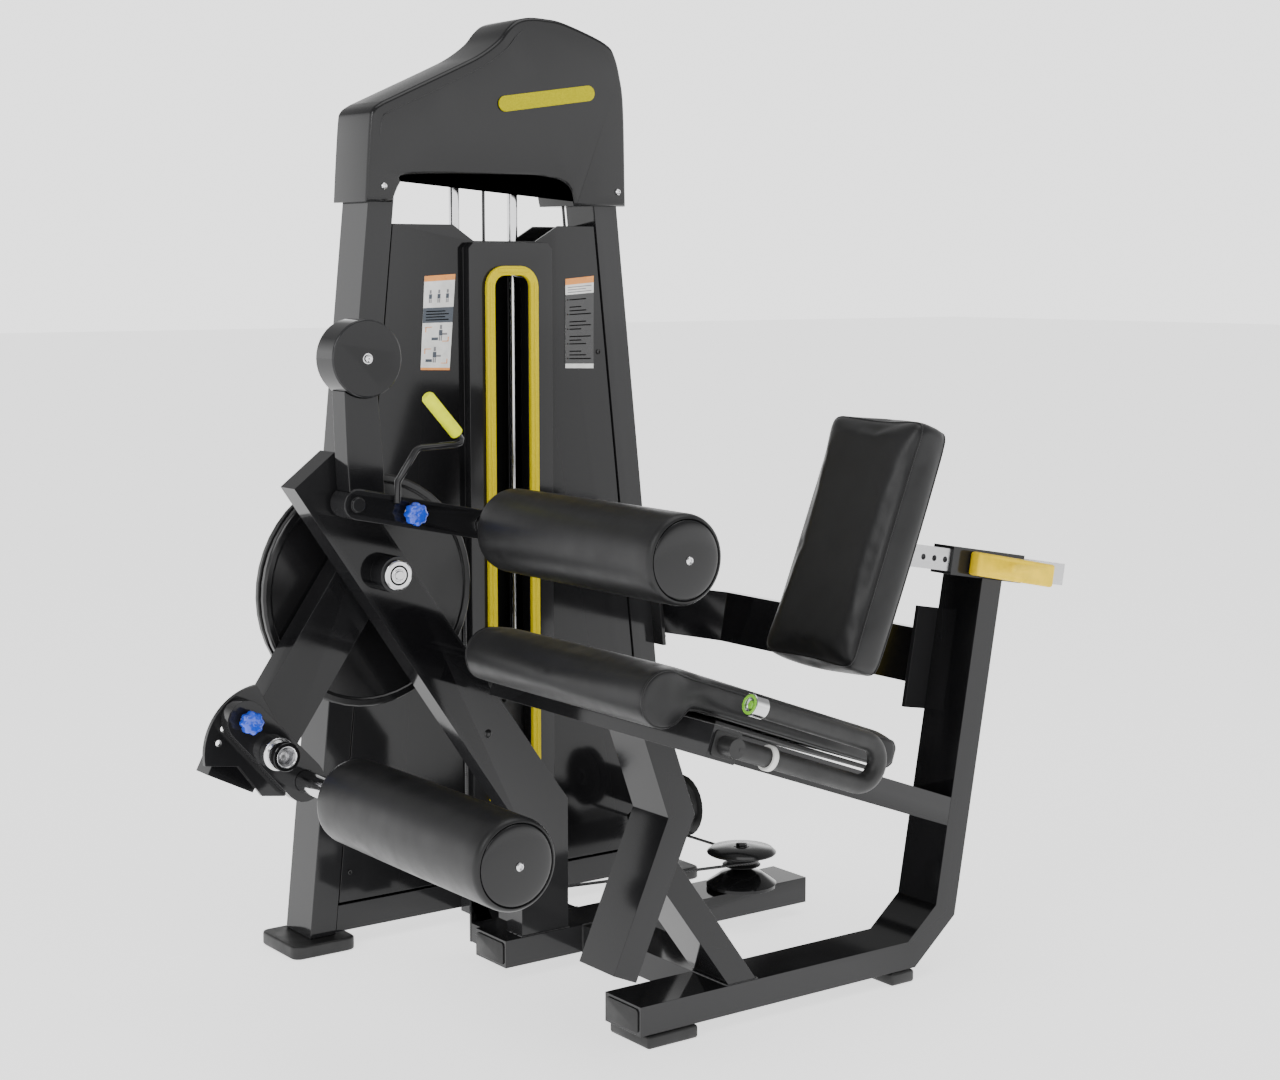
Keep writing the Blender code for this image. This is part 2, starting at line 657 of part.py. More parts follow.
def build_seat(m):
    """Cushion rolled over at the knees, on a thin board."""
    r = SEAT_ROLL_R
    low = r - SEAT_THICK
    start = math.degrees(math.asin(low / r))
    profile = arc(0.0, 0.0, r, 90, 360 + start, 26)
    profile += [(SEAT_LENGTH - 0.012, low), (SEAT_LENGTH, low + 0.012)]
    profile += [(SEAT_LENGTH, r - 0.016), (SEAT_LENGTH - 0.005, r - 0.005), (SEAT_LENGTH - 0.016, r)]
    cushion = seat_prism("seat_cushion", profile, -SEAT_HALF, SEAT_HALF, m["pad"])
    rounded_edges(cushion, 0.006, 2)
    inset = 0.03
    top = low - GAP
    x0, x1 = 0.125, SEAT_LENGTH - inset
    board = [(x0, top), (x0, top - 0.0072), (x1, top - 0.0072), (x1, top)]
    seat_prism("seat_board", board, inset - SEAT_HALF, SEAT_HALF - inset, m["rubber"])


def build_handles(m):
    """Bent hand grips either side of the seat, each with a bright end ring."""
    up, down = 0.028, -0.041
    middle = (up + down) / 2
    radius = (up - down) / 2
    bend = 0.352
    bar = 0.0155
    bar_end = 0.0895
    for name, side in (("near", -1), ("far", 1)):
        y = side * 0.318
        line = [seat_point(along, up, y) for along in (0.128, 0.200, 0.270)]
        for along, height in arc(bend, middle, radius, 90, -90, 12):
            line.append(seat_point(along, height, y))
        line += [seat_point(along, down, y) for along in (0.270, 0.175, 0.110)]
        handle = sweep(name + "_handle", line, bar, m["rubber"], 14)
        stub_start = seat_point(bar_end, down, side * (0.300 + GAP))
        join(handle, rod("cutter", stub_start, seat_point(bar_end, down, side * 0.335), bar, m["rubber"], 16))
        tip_end = seat_point(0.115, down, y)
        join(handle, rod("cutter", seat_point(bar_end, down, y), tip_end, bar - 0.0005, m["rubber"], 16))
        cup = [(0, 0.004), (0.008, 0.004), (0.009, 0), (0.0175, 0), (0.0175, 0.026), (0, 0.026)]
        lathe(name + "_handle_end", cup, seat_point(0.101, up, y), SEAT_DIR, m["steel"], 24)


# ---- backrest ----
def slide_point(x, offset=0.0):
    """Point on the backrest slide's middle line at x, moved square to it by offset."""
    start = COLUMN_TOP + LEAN_DIR * 0.0245
    return start + LEAN_SIDE * ((x - start.x) / LEAN_SIDE.x) + LEAN_DIR * offset


def slide_outline(corners):
    """Outline in X and Z from corners given along and across the slide."""
    points = [slide_point(x, offset) for x, offset in corners]
    return [(point.x, point.z) for point in points]


def leaning_slab(name, middle, half, thick, width, m):
    """Slab standing along the backrest's lean, its thickness going backwards."""
    up = Vector((math.sin(BACK_LEAN), 0, math.cos(BACK_LEAN))) * half
    back = Vector((math.cos(BACK_LEAN), 0, -math.sin(BACK_LEAN))) * thick
    corners = [middle - up, middle - up + back, middle + up + back, middle + up]
    return prism(name, [(p.x, p.z) for p in corners], -width / 2, width / 2, m)


def build_backrest(m):
    back = Vector((math.cos(BACK_LEAN), 0, -math.sin(BACK_LEAN)))
    front = Vector((BACK_X, 0, BACK_Z))
    pad = leaning_slab("backrest_cushion", front, BACK_LENGTH / 2, BACK_THICK, BACK_WIDTH, m["pad"])
    rounded_edges(pad, 0.020, 3)
    plate_thick = 0.006
    plate_at = front + back * (BACK_THICK + GAP)
    leaning_slab("backrest_plate", plate_at, 0.09, plate_thick, 0.110, m["frame"])
    face = plate_at + back * (plate_thick + GAP)
    corners = []
    for offset in (-SLIDE_HALF, SLIDE_HALF):
        point = slide_point(0, offset)
        start = point + LEAN_SIDE * ((face - point).dot(back) / LEAN_SIDE.dot(back))
        end = slide_point(0.729, offset)
        corners.append(((start.x, start.z), (end.x, end.z)))
    outline = [corners[0][0], corners[0][1], corners[1][1], corners[1][0]]
    y0, y1 = SLIDE_Y - SLIDE_HALF, SLIDE_Y + SLIDE_HALF
    bar = prism("backrest_slide", outline, y0, y1, m["steel"])
    for i in range(8):
        spot = slide_point(0.372 + 0.0262 * i)
        drill_y(bar, spot.x, spot.z, y0, y1, 0.0055, 12)


def build_slide_sleeve(m):
    """Square sleeve on top of the column, and the yellow lever beside it."""
    x0, x1 = 0.437, 0.615
    half = SLEEVE_HALF
    y0, y1 = SLIDE_Y - half, SLIDE_Y + half
    column = bpy.data.objects["base_and_column"]
    outline = slide_outline([(x0, -half), (x1, -half), (x1, half), (x0, half)])
    join(column, prism("cutter", outline, y0, y1, m["frame"]))
    half = SLEEVE_BORE_HALF
    x0, x1 = x0 - 0.02, x1 + 0.02
    outline = slide_outline([(x0, -half), (x1, -half), (x1, half), (x0, half)])
    bore = prism("cutter", outline, SLIDE_Y - half, SLIDE_Y + half, m["frame"])
    combine(column, bore, "DIFFERENCE")
    outline = slide_outline([(0.476, -0.021), (0.672, -0.026), (0.672, 0.016), (0.476, 0.021)])
    lever = prism("slide_lever", outline, y0 - 0.026, y0 - 0.002, m["lever"])
    rounded_edges(lever, 0.005, 2)
    pivot = slide_point(0.560)
    head_start = (pivot.x, y0 - 0.031, pivot.z)
    join(lever, rod("cutter", head_start, (pivot.x, y0 - GAP, pivot.z), 0.009, m["lever"], 20))
    put_origin(lever, (pivot.x, y0, pivot.z))


def build_tie_rail(m):
    """Tube from the column's flange, bent to meet the tower's right post."""
    x = 0.4905
    start_z = 0.555
    end_z = start_z + 0.0225
    start_y = HALF_WIDE + 0.008
    elbow_y = TOWER_Y - 0.073
    end_x = tower_edge(1, end_z) + 0.0070
    end_y = elbow_y + 0.085 * abs(end_x - x) / 0.131
    wide = LEAN_DIR * HALF_WIDE
    thin = LEAN_SIDE * (TUBE_THIN / 2)
    post_wide = Vector((-math.tan(TOWER_LEAN) * HALF_WIDE, 0, HALF_WIDE))
    sections = [
        (Vector((x, start_y, start_z)), thin, wide),
        (Vector((x, elbow_y, start_z)), thin + Vector((0, 0.015, 0)), wide),
        (Vector((end_x, end_y, end_z)), Vector((0, 0.031, 0)), post_wide),
    ]
    bm = bmesh.new()
    loops = []
    for centre, across, along in sections:
        signs = ((-1, -1), (1, -1), (1, 1), (-1, 1))
        loops.append([bm.verts.new(centre + across * a + along * b) for a, b in signs])
    for one, two in zip(loops, loops[1:]):
        for k in range(4):
            n = (k + 1) % 4
            bm.faces.new((one[k], one[n], two[n], two[k]))
    bm.faces.new(loops[0][::-1])
    bm.faces.new(loops[-1])
    rail = finish_mesh("tie_rail", bm, m["frame"])
    centre = Vector((x, 0, start_z))
    outline = []
    for a, b in ((-0.058, -0.093), (0.058, -0.093), (0.058, 0.093), (-0.058, 0.093)):
        point = centre + LEAN_SIDE * a + LEAN_DIR * b
        outline.append((point.x, point.z))
    join(rail, prism("cutter", outline, HALF_WIDE + GAP, start_y + 0.001, m["frame"]))
    z0, z1 = end_z - 0.075, end_z + 0.075
    outline = [(tower_edge(1, z, -GAP), z) for z in (z0, z1)]
    outline += [(tower_edge(1, z, -0.008), z) for z in (z1, z0)]
    join(rail, prism("cutter", outline, TOWER_Y - 0.03, TOWER_Y1, m["frame"]))


# ---- moving arm ----
def build_pivot_post(m):
    """Leaning post that carries both pivots, with the hub's housing."""
    floor = BASE_TOP + GAP
    outline = [(-0.634, 0.906), (-0.198, 0.271), (-0.198, floor), (-0.098, floor)]
    outline += [(-0.098, 0.314), (-0.1532, 0.3896), (-0.5594, 0.9629)]
    post = prism("pivot_post", outline, POST_Y0, POST_Y1, m["frame"])
    housing_start = (HUB_X, POST_Y0 - 0.035, HUB_Z)
    join(post, rod("cutter", housing_start, (HUB_X, POST_Y1 + 0.010, HUB_Z), 0.031, m["frame"], 28))
    drill_y(post, HUB_X, HUB_Z, POST_Y0 - 0.04, POST_Y1 + 0.04, AXLE_BORE)
    drill_y(post, THIGH_PIVOT_X, THIGH_PIVOT_Z, POST_Y0, POST_Y1, 0.0123, 20)


def build_axle(m):
    """Main axle, its head a bright cap with a small button."""
    face = POST_Y0 - 0.0417
    reach = CAM_Y1 + 0.010 - face
    profile = [(0, -0.004), (0.008, -0.004), (0.0085, 0.0), (0.024, 0.0), (0.0257, 0.0015)]
    profile += [(0.0257, 0.0065), (0.015, 0.0065), (0.015, reach), (0, reach)]
    axle = lathe("main_axle", profile, (HUB_X, face, HUB_Z), (0, 1, 0), m["steel"], 28)
    put_origin(axle, (HUB_X, POST_Y0, HUB_Z))


def build_cam(m):
    """Big disc set off its axle, with a groove for the cable."""
    r = CAM_RADIUS
    w = CAM_Y1 - CAM_Y0
    profile = [(0, 0.004), (r - 0.016, 0.004), (r - 0.013, 0), (r - 0.003, 0), (r, 0.003)]
    profile += [(r, 0.012), (r - 0.008, 0.0145), (r - 0.008, 0.0205), (r, 0.023), (r, w), (0, w)]
    cam = lathe("cable_cam", profile, (CAM_X, CAM_Y0, CAM_Z), (0, 1, 0), m["cover"], 48)
    drill_y(cam, HUB_X, HUB_Z, CAM_Y0, CAM_Y1, AXLE_BORE)
    put_origin(cam, (HUB_X, CAM_Y0, HUB_Z))


def sector_plate(m):
    """Plate with the adjuster's holes on an arc about the adjuster pivot."""
    outline = arc(ADJUST_X, ADJUST_Z, 0.112, 98, 187, 18)
    outline += [(ADJUST_X - 0.052, ADJUST_Z - 0.022), (ADJUST_X - 0.010, ADJUST_Z - 0.078)]
    outline += [(ADJUST_X + 0.032, ADJUST_Z - 0.084)]
    outline += arc(ADJUST_X, ADJUST_Z, 0.045, -35, 60, 6)
    plate = prism("cutter", outline, SECTOR_Y0, ARM_Y0 + 0.001, m["frame"])
    for turn in (166, 150, 134, 112):
        x = ADJUST_X + 0.089 * math.cos(math.radians(turn))
        z = ADJUST_Z + 0.089 * math.sin(math.radians(turn))
        drill_y(plate, x, z, SECTOR_Y0, SECTOR_Y1, 0.0055, 14)
    return plate


def stop_block(m):
    """Tilted block welded to the sector plate."""
    tilt = math.radians(-27)
    middle = Vector((-0.722, 0.432))
    along = Vector((math.cos(tilt), math.sin(tilt))) * 0.045
    across = Vector((-math.sin(tilt), math.cos(tilt))) * 0.017
    corners = [middle - along - across, middle + along - across]
    corners += [middle + along + across, middle - along + across]
    outline = [(p.x, p.y) for p in corners]
    return prism("cutter", outline, SECTOR_Y1 - 0.001, ARM_Y1 - 0.006, m["frame"])


def build_lever(m):
    shape = hull_of_circles(HUB_X, HUB_Z, HALF_WIDE, ADJUST_X, ADJUST_Z, HALF_WIDE, 12)
    arm = prism("lever_arm", shape, ARM_Y0, ARM_Y1, m["frame"])
    drill_y(arm, HUB_X, HUB_Z, ARM_Y0, ARM_Y1, AXLE_BORE)
    join(arm, join(sector_plate(m), stop_block(m)))
    drill_y(arm, ADJUST_X, ADJUST_Z, SECTOR_Y0, ARM_Y1, PIVOT_BORE)
    put_origin(arm, (HUB_X, ARM_Y0, HUB_Z))
    build_axle(m)
    build_cam(m)


def pull_knob(name, point, stem, m):
    """Round blue knob on a sprung pin, the knob towards -Y."""
    neck = 0.031
    profile = [(0, 0), (0.012, 0.0005), (0.018, 0.003), (0.020, 0.008), (0.020, 0.020)]
    profile += [(0.015, 0.027), (0.0075, 0.029), (0.0075, neck)]
    profile += [(0.0045, neck), (0.0045, neck + stem), (0, neck + stem)]
    knob = lathe(name, profile, (point[0], point[1] - neck, point[2]), (0, 1, 0), m["blue"], 24)
    put_origin(knob, point)


def build_shin_adjuster(m):
    """Short link to the shin roller, its pivot pin and its pull pin."""
    turn = math.radians(129.5)
    knob_x = ADJUST_X + 0.0765 * math.cos(turn)
    knob_z = ADJUST_Z + 0.0765 * math.sin(turn)
    shape = hull_of_circles(knob_x, knob_z, 0.034, SHIN_X, SHIN_Z, 0.036, 10)
    bracket = prism("shin_bracket", shape, BRACKET_Y0, BRACKET_Y1, m["frame"])
    holes = [(ADJUST_X, ADJUST_Z, PIVOT_BORE), (knob_x, knob_z, 0.0050)]
    holes += [(SHIN_X, SHIN_Z, AXLE_RADIUS + GAP)]
    for x, z, radius in holes:
        drill_y(bracket, x, z, BRACKET_Y0, BRACKET_Y1, radius)
    pivot = (ADJUST_X, BRACKET_Y0, ADJUST_Z)
    put_origin(bracket, pivot)
    boss = 0.046
    reach = boss + ARM_Y1 + 0.004 - BRACKET_Y0
    profile = [(0, 0.018), (0.012, 0.018), (0.0165, 0.001), (0.0195, 0), (0.0233, 0.003)]
    profile += [(0.0233, boss - 0.020), (0.028, boss - 0.018), (0.028, boss - GAP)]
    profile += [(0.0130, boss - GAP), (0.0130, reach), (0, reach)]
    start = (ADJUST_X, BRACKET_Y0 - boss, ADJUST_Z)
    pin = lathe("adjuster_pivot_pin", profile, start, (0, 1, 0), m["steel"], 28)
    put_origin(pin, pivot)
    pull_knob("shin_pull_pin", (knob_x, BRACKET_Y0 - 0.001, knob_z), 0.026, m)


def roller_set(prefix, x, z, axle_end, pivot, m):
    """Foam roller with a domed end cap, turning on a bar that rides on its link."""
    near = -ROLLER_HALF
    length = 2 * ROLLER_HALF
    bar = rod(prefix + "_axle", (x, near + 0.035, z), (x, axle_end, z), AXLE_RADIUS, m["steel"], 24)
    put_origin(bar, pivot)
    r = ROLLER_RADIUS
    bore = AXLE_RADIUS + GAP
    profile = []
    for i in range(6):
        a = math.radians(90 * i / 5)
        profile.append((0.0575 * math.sin(a), 0.0115 - 0.017 * math.cos(a)))
    profile += [(0.0605, 0.0120), (0.0605, 0.003), (0.063, 0.0), (r - 0.0035, 0.003), (r, 0.010)]
    profile += [(r, length - 0.010), (r - 0.0035, length - 0.003), (r - 0.010, length)]
    profile += [(bore, length), (bore, 0.034), (0, 0.034)]
    roller = lathe(prefix + "_roller", profile, (x, near, z), (0, 1, 0), m["pad"], 32)
    put_origin(roller, (x, 0, z))


def build_counterweight(arm, pivot, m):
    """Disc bolted to the arm's upper end, which is cut away round it."""
    x, z, radius = COUNTERWEIGHT
    face = THIGH_ARM_Y0 - 0.007
    cutter = rod("cutter", (x, face, z), (x, THIGH_ARM_Y1 + 0.05, z), radius + GAP, m["frame"], 40)
    combine(arm, cutter, "DIFFERENCE")
    profile = [(0, -0.005), (0.0065, -0.004), (0.0070, 0), (radius - 0.002, 0), (radius, 0.002)]
    profile += [(radius, 0.057), (radius - 0.002, 0.059), (0, 0.059)]
    disc = lathe("counterweight", profile, (x, face, z), (0, 1, 0), m["frame"], 40)
    put_origin(disc, pivot)


def build_release_bar(pivot, m):
    """Thin bent bar up from the arm, with a bright grip on its end."""
    y = THIGH_ARM_Y0 - 0.0085
    line = [(-0.4800, 0.8800), (-0.4790, 0.9146), (-0.4440, 0.9640), (-0.4360, 0.9685)]
    line += [(-0.3690, 0.9705), (-0.3585, 0.9735), (-0.3570, 0.9800), (-0.3618, 0.9858)]
    bar = sweep("release_bar", [(x, y, z) for x, z in line], 0.006, m["frame"], 10)
    put_origin(bar, pivot)
    start = Vector((-0.3632, y, 0.9874))
    span = Vector((-0.4240, y, 1.0560)) - start
    length = span.length
    profile = [(0, 0), (0.0095, 0.0), (0.0115, 0.003), (0.0115, length - 0.006)]
    profile += [(0.008, length - 0.001), (0, length)]
    grip = lathe("release_grip", profile, start, span, m["lemon"], 20)
    put_origin(grip, pivot)


def build_thigh_arm(m):
    x, z = THIGH_PIVOT_X, THIGH_PIVOT_Z
    y0, y1 = THIGH_ARM_Y0, THIGH_ARM_Y1
    pivot = (x, y0, z)
    half = TUBE_THIN / 2
    shape = hull_of_circles(x, z, half, THIGH_X, THIGH_Z, half, 8)
    arm = prism("thigh_arm", shape, y0, y1, m["frame"])
    upright = [(x - 0.012, z), (x + 0.052, z), (x + 0.050, z + 0.066), (x + 0.040, z + 0.200)]
    upright += [(x - 0.020, z + 0.200), (x - 0.016, z + 0.066)]
    join(arm, prism("cutter", upright, y0 + 0.003, y1 - 0.003, m["frame"]))
    join(arm, rod("cutter", (x, y0 - 0.004, z), (x, POST_Y1 + 0.004, z), 0.0120, m["frame"], 20))
    drill_y(arm, THIGH_X, THIGH_Z, y0, y1, AXLE_RADIUS + GAP)
    knob_x = -0.451
    knob_z = z + (THIGH_Z - z) * (knob_x - x) / (THIGH_X - x)
    drill_y(arm, knob_x, knob_z, y0, y1, 0.0050, 14)
    build_counterweight(arm, pivot, m)
    put_origin(arm, pivot)
    pull_knob("thigh_pull_pin", (knob_x, y0 - 0.001, knob_z), 0.040, m)
    build_release_bar(pivot, m)


# ---- pulleys and cable ----


def pulley(name, centre, radius, axis, bore, m, half=0.010, groove=0.0035, sides=24):
    """Grooved wheel, radius to the cable's middle line."""
    floor = radius - CABLE_RADIUS - 0.0010
    rim = radius + 0.006
    profile = [(bore, -half), (rim - 0.002, -half), (rim, -half + 0.002), (floor, -groove), (floor, groove)]
    profile += [(rim, half - 0.002), (rim - 0.002, half), (bore, half)]
    obj = lathe(name, profile, centre, axis, m["rubber"], sides)
    put_origin(obj, centre)
    return obj


def head_pulleys(m):
    """Two wheels above the tower's top beam, on one welded plate."""
    r = HEAD_PULLEY_R
    z = HEAD_PULLEY_Z
    y0, y1 = STACK_Y + 0.0125, STACK_Y + 0.0175
    low = (TOWER_MID_X - 0.010, y0, BEAM_Z1 - 0.001)
    plate = box("cutter", low, (CABLE_DOWN_X + 0.010, y1, z + 0.02), m["frame"])
    places = (("head_pulley_one", TOWER_MID_X + r), ("head_pulley_two", CABLE_DOWN_X - r))
    for name, x in places:
        pulley(name, (x, STACK_Y, z), r, (0, 1, 0), WHEEL_BORE, m)
        pin = rod("cutter", (x, STACK_Y - 0.013, z), (x, y0 + 0.0035, z), WHEEL_PIN, m["frame"], 20)
        join(plate, pin)
    join(bpy.data.objects["tower_top_beam"], plate)


def guide_pulleys(m):
    """Wheel in front of the tower's right post and a small one behind the cover."""
    x = GUIDE_X
    z = GUIDE_LOW_Z + GUIDE_R
    pulley("guide_pulley", (x, GUIDE_Y, z), GUIDE_R, (1, 0, 0), WHEEL_BORE, m, 0.012)
    x0, x1 = x + 0.0135, x + 0.0195
    z0, z1 = z - 0.035, z + 0.035
    plate = box("cutter", (x0, GUIDE_Y - 0.03, z0), (x1, TOWER_Y - 0.001, z1), m["frame"])
    post_x = tower_edge(1, z, POST_WALL)
    tab_high = (post_x + 0.051, TOWER_Y - GAP, z1)
    join(plate, box("cutter", (x0, TOWER_Y - 0.0075, z0), tab_high, m["frame"]))
    weld_low = (post_x + 0.031, TOWER_Y - 0.004, z0 + 0.01)
    weld_high = (post_x + 0.046, TOWER_Y + 0.001, z1 - 0.01)
    join(plate, box("cutter", weld_low, weld_high, m["frame"]))
    join(plate, rod("cutter", (x - 0.014, GUIDE_Y, z), (x + 0.015, GUIDE_Y, z), WHEEL_PIN, m["frame"], 20))
    join(bpy.data.objects["tower_right_post"], plate)
    y = INNER_PULLEY_Y
    z = GUIDE_LOW_Z + INNER_PULLEY_R
    pulley("tower_pulley", (x, y, z), INNER_PULLEY_R, (1, 0, 0), 0.0063, m)
    low = (x + 0.0115, TOWER_Y + 0.012, TOWER_TUBE_TOP - 0.001)
    plate = box("cutter", low, (x + 0.0165, TOWER_Y1 - 0.014, z + 0.02), m["frame"])
    join(plate, rod("cutter", (x - 0.012, y, z), (x + 0.014, y, z), 0.006, m["frame"], 20))
    join(bpy.data.objects["tower_base_tube"], plate)


def floor_wheel(m):
    """Flat-lying wheel on a flared stand, under a dished guard."""
    x, y, z = FLOOR_PULLEY_X, FLOOR_PULLEY_Y, FLOOR_PULLEY_Z
    pulley("floor_pulley", (x, y, z), FLOOR_PULLEY_R, (0, 0, 1), WHEEL_BORE, m, 0.0115, 0.006)
    stand = [(0, 0), (0.055, 0), (0.068, 0.004), (0.068, 0.010), (0.040, 0.0300)]
    stand += [(0.0078, 0.0400), (0.0078, 0.078), (0, 0.078)]
    body = lathe("cutter", stand, (x, y, BASE_TOP - 0.001), (0, 0, 1), m["frame"], 36)
    join(bpy.data.objects["floor_crossbar"], body)
    dome = [(0.0082, 0), (0.066, 0), (0.068, 0.003), (0.060, 0.010), (0.022, 0.014), (0.0082, 0.014)]
    lathe("floor_pulley_guard", dome, (x, y, z + 0.0125), (0, 0, 1), m["rubber"], 36)


def cam_wheel(m):
    """Wheel right under the cam's front edge, on a bracket from the crossbar."""
    x, y, z = CAM_CABLE_X, CAM_CABLE_Y, CAM_PULLEY_Z
    pulley("cam_pulley", (x, y, z), CAM_PULLEY_R, (0, 1, 0), WHEEL_BORE, m)
    plate_y = y + 0.0125
    plate = box("cutter", (x - 0.03, plate_y, 0.030), (x + 0.03, plate_y + 0.006, z + 0.02), m["frame"])
    root_low = (x - 0.0295, CROSS_Y + TUBE_WIDE - 0.001, 0.0305)
    join(plate, box("cutter", root_low, (x + 0.03, plate_y + 0.003, 0.066), m["frame"]))
    pin = rod("cutter", (x, y - 0.012, z), (x, plate_y + 0.003, z), WHEEL_PIN, m["frame"], 20)
    join(plate, pin)
    join(bpy.data.objects["floor_crossbar"], plate)


def arc_points(y, cx, cz, radius, a0, a1, steps):
    """Arc standing in X and Z at one Y."""
    return [(x, y, z) for x, z in arc(cx, cz, radius, a0, a1, steps)]


def floor_wheel_points(leave_to):
    """Part of a turn round the flat wheel, between its two straight runs."""
    centre = Vector((FLOOR_PULLEY_X, FLOOR_PULLEY_Y))
    r = FLOOR_PULLEY_R
    come = centre - Vector((GUIDE_X, GUIDE_Y - 0.01))
    leave = Vector(leave_to) - centre
    first = math.atan2(come.y, come.x) + math.asin(r / come.length) + math.pi / 2
    last = math.atan2(leave.y, leave.x) - math.asin(r / leave.length) - math.pi * 1.5
    points = []
    for i in range(10):
        a = first + (last - first) * i / 9
        points.append((centre.x + r * math.cos(a), centre.y + r * math.sin(a), FLOOR_PULLEY_Z))
    return points


def cable_points(stack_z):
    """The cable's path from the weights, over and round the wheels, to the cam."""
    r = HEAD_PULLEY_R
    points = [(TOWER_MID_X, STACK_Y, stack_z + GAP)]
    points += arc_points(STACK_Y, TOWER_MID_X + r, HEAD_PULLEY_Z, r, 180, 90, 5)
    points += arc_points(STACK_Y, CABLE_DOWN_X - r, HEAD_PULLEY_Z, r, 90, 0, 5)
    inner_z = GUIDE_LOW_Z + INNER_PULLEY_R
    for y, z in arc(INNER_PULLEY_Y, inner_z, INNER_PULLEY_R, 0, -90, 5):
        points.append((GUIDE_X, y, z))
    points += [(GUIDE_X, GUIDE_Y + 0.01, GUIDE_LOW_Z), (GUIDE_X, GUIDE_Y - 0.01, GUIDE_LOW_Z)]
    wheel_entry = (CAM_CABLE_X + 0.02, CAM_CABLE_Y)
    points += floor_wheel_points(wheel_entry)
    points.append((*wheel_entry, CAM_PULLEY_Z - CAM_PULLEY_R))
    points += arc_points(CAM_CABLE_Y, CAM_CABLE_X, CAM_PULLEY_Z, CAM_PULLEY_R, 270, 180, 6)
    points += arc_points(CAM_CABLE_Y, CAM_X, CAM_Z, CAM_RADIUS - 0.004, 0, 96, 14)
    return points


def build_cable(m, stack_z):
    points = cable_points(stack_z)
    data = bpy.data.curves.new("lift_cable", "CURVE")
    data.dimensions = "3D"
    data.bevel_depth = CABLE_RADIUS
    data.bevel_resolution = 2
    data.use_fill_caps = True
    spline = data.splines.new("POLY")
    spline.points.add(len(points) - 1)
    for slot, point in zip(spline.points, points):
        slot.co = (*point, 1.0)
    obj = bpy.data.objects.new("lift_cable", data)
    obj.data.materials.append(m["cable"])
    bpy.context.scene.collection.objects.link(obj)


def centre_over_origin():
    low = Vector((1e9, 1e9, 1e9))
    high = -low
    bpy.context.view_layer.update()
    for obj in bpy.data.objects:
        if obj.type != "MESH":
            continue
        for vert in obj.data.vertices:
            point = obj.matrix_world @ vert.co
            for k in range(3):
                low[k] = min(low[k], point[k])
                high[k] = max(high[k], point[k])
    shift = Vector(((low.x + high.x) / 2, (low.y + high.y) / 2, low.z))
    for obj in bpy.data.objects:
        obj.location = obj.location - shift


def main():
    clear_scene()
    m = make_materials()
    build_floor_frame(m)
    build_tower(m)
    build_head(m)
    build_covers(m)
    stack_top = build_stack(m)
    build_seat_frame(m)
    build_seat(m)
    build_handles(m)
    build_backrest(m)
    build_slide_sleeve(m)
    build_tie_rail(m)
    build_pivot_post(m)
    build_lever(m)
    build_shin_adjuster(m)
    build_thigh_arm(m)
    shin_pivot = (ADJUST_X, BRACKET_Y0, ADJUST_Z)
    roller_set("shin", SHIN_X, SHIN_Z, BRACKET_Y1, shin_pivot, m)
    thigh_pivot = (THIGH_PIVOT_X, THIGH_ARM_Y0, THIGH_PIVOT_Z)
    roller_set("thigh", THIGH_X, THIGH_Z, THIGH_ARM_Y1, thigh_pivot, m)
    head_pulleys(m)
    guide_pulleys(m)
    floor_wheel(m)
    cam_wheel(m)
    build_cable(m, stack_top)
    centre_over_origin()


main()
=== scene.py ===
"""Looks of the seated leg machine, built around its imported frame.

The row frame's axes: +Z up, the user faces -X, the weight tower stands at +Y. Metres.
"""

import math

import bmesh
import bpy
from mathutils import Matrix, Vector
from mathutils.bvhtree import BVHTree


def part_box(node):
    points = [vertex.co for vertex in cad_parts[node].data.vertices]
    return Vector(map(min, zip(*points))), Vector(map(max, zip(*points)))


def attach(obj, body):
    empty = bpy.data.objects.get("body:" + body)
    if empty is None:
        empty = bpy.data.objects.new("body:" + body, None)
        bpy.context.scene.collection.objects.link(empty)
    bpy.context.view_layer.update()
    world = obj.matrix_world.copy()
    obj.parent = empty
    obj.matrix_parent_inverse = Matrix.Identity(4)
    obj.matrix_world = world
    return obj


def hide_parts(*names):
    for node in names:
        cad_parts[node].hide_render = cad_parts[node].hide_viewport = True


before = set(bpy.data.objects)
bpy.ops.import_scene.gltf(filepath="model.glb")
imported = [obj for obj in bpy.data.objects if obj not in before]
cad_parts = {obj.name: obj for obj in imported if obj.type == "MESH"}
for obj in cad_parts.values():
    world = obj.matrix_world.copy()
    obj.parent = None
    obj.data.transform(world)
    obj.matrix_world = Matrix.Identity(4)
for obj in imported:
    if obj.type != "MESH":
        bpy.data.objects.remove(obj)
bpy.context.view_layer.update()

# ---- places read from the frame ----
def middle(node):
    low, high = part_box(node)
    return (low + high) / 2


HUB = middle("main_axle")
SHIFT = Vector((HUB.x + 0.4646, middle("base_and_column").y, 0.0))
SEAT_PITCH = math.radians(20.0)
SEAT_ORIGIN = Vector((-0.350, 0.0, 0.625)) + SHIFT
SEAT_DIR = Vector((math.cos(SEAT_PITCH), 0.0, -math.sin(SEAT_PITCH)))
SEAT_UP = Vector((math.sin(SEAT_PITCH), 0.0, math.cos(SEAT_PITCH)))
SEAT_ROLL = 0.049
SEAT_LENGTH = 0.495
SEAT_THICK = 0.055
SEAT_HALF = 0.254
BACK_LEAN = math.radians(21.5)
LEAN = math.radians(9.8)
LEAN_UP = Vector((math.sin(LEAN), 0.0, math.cos(LEAN)))
LEAN_BACK = Vector((math.cos(LEAN), 0.0, -math.sin(LEAN)))
TOWER_LEAN = math.radians(6.12)
TOWER_MID_X = -0.017
TOWER_FOOT_HALF = 0.426


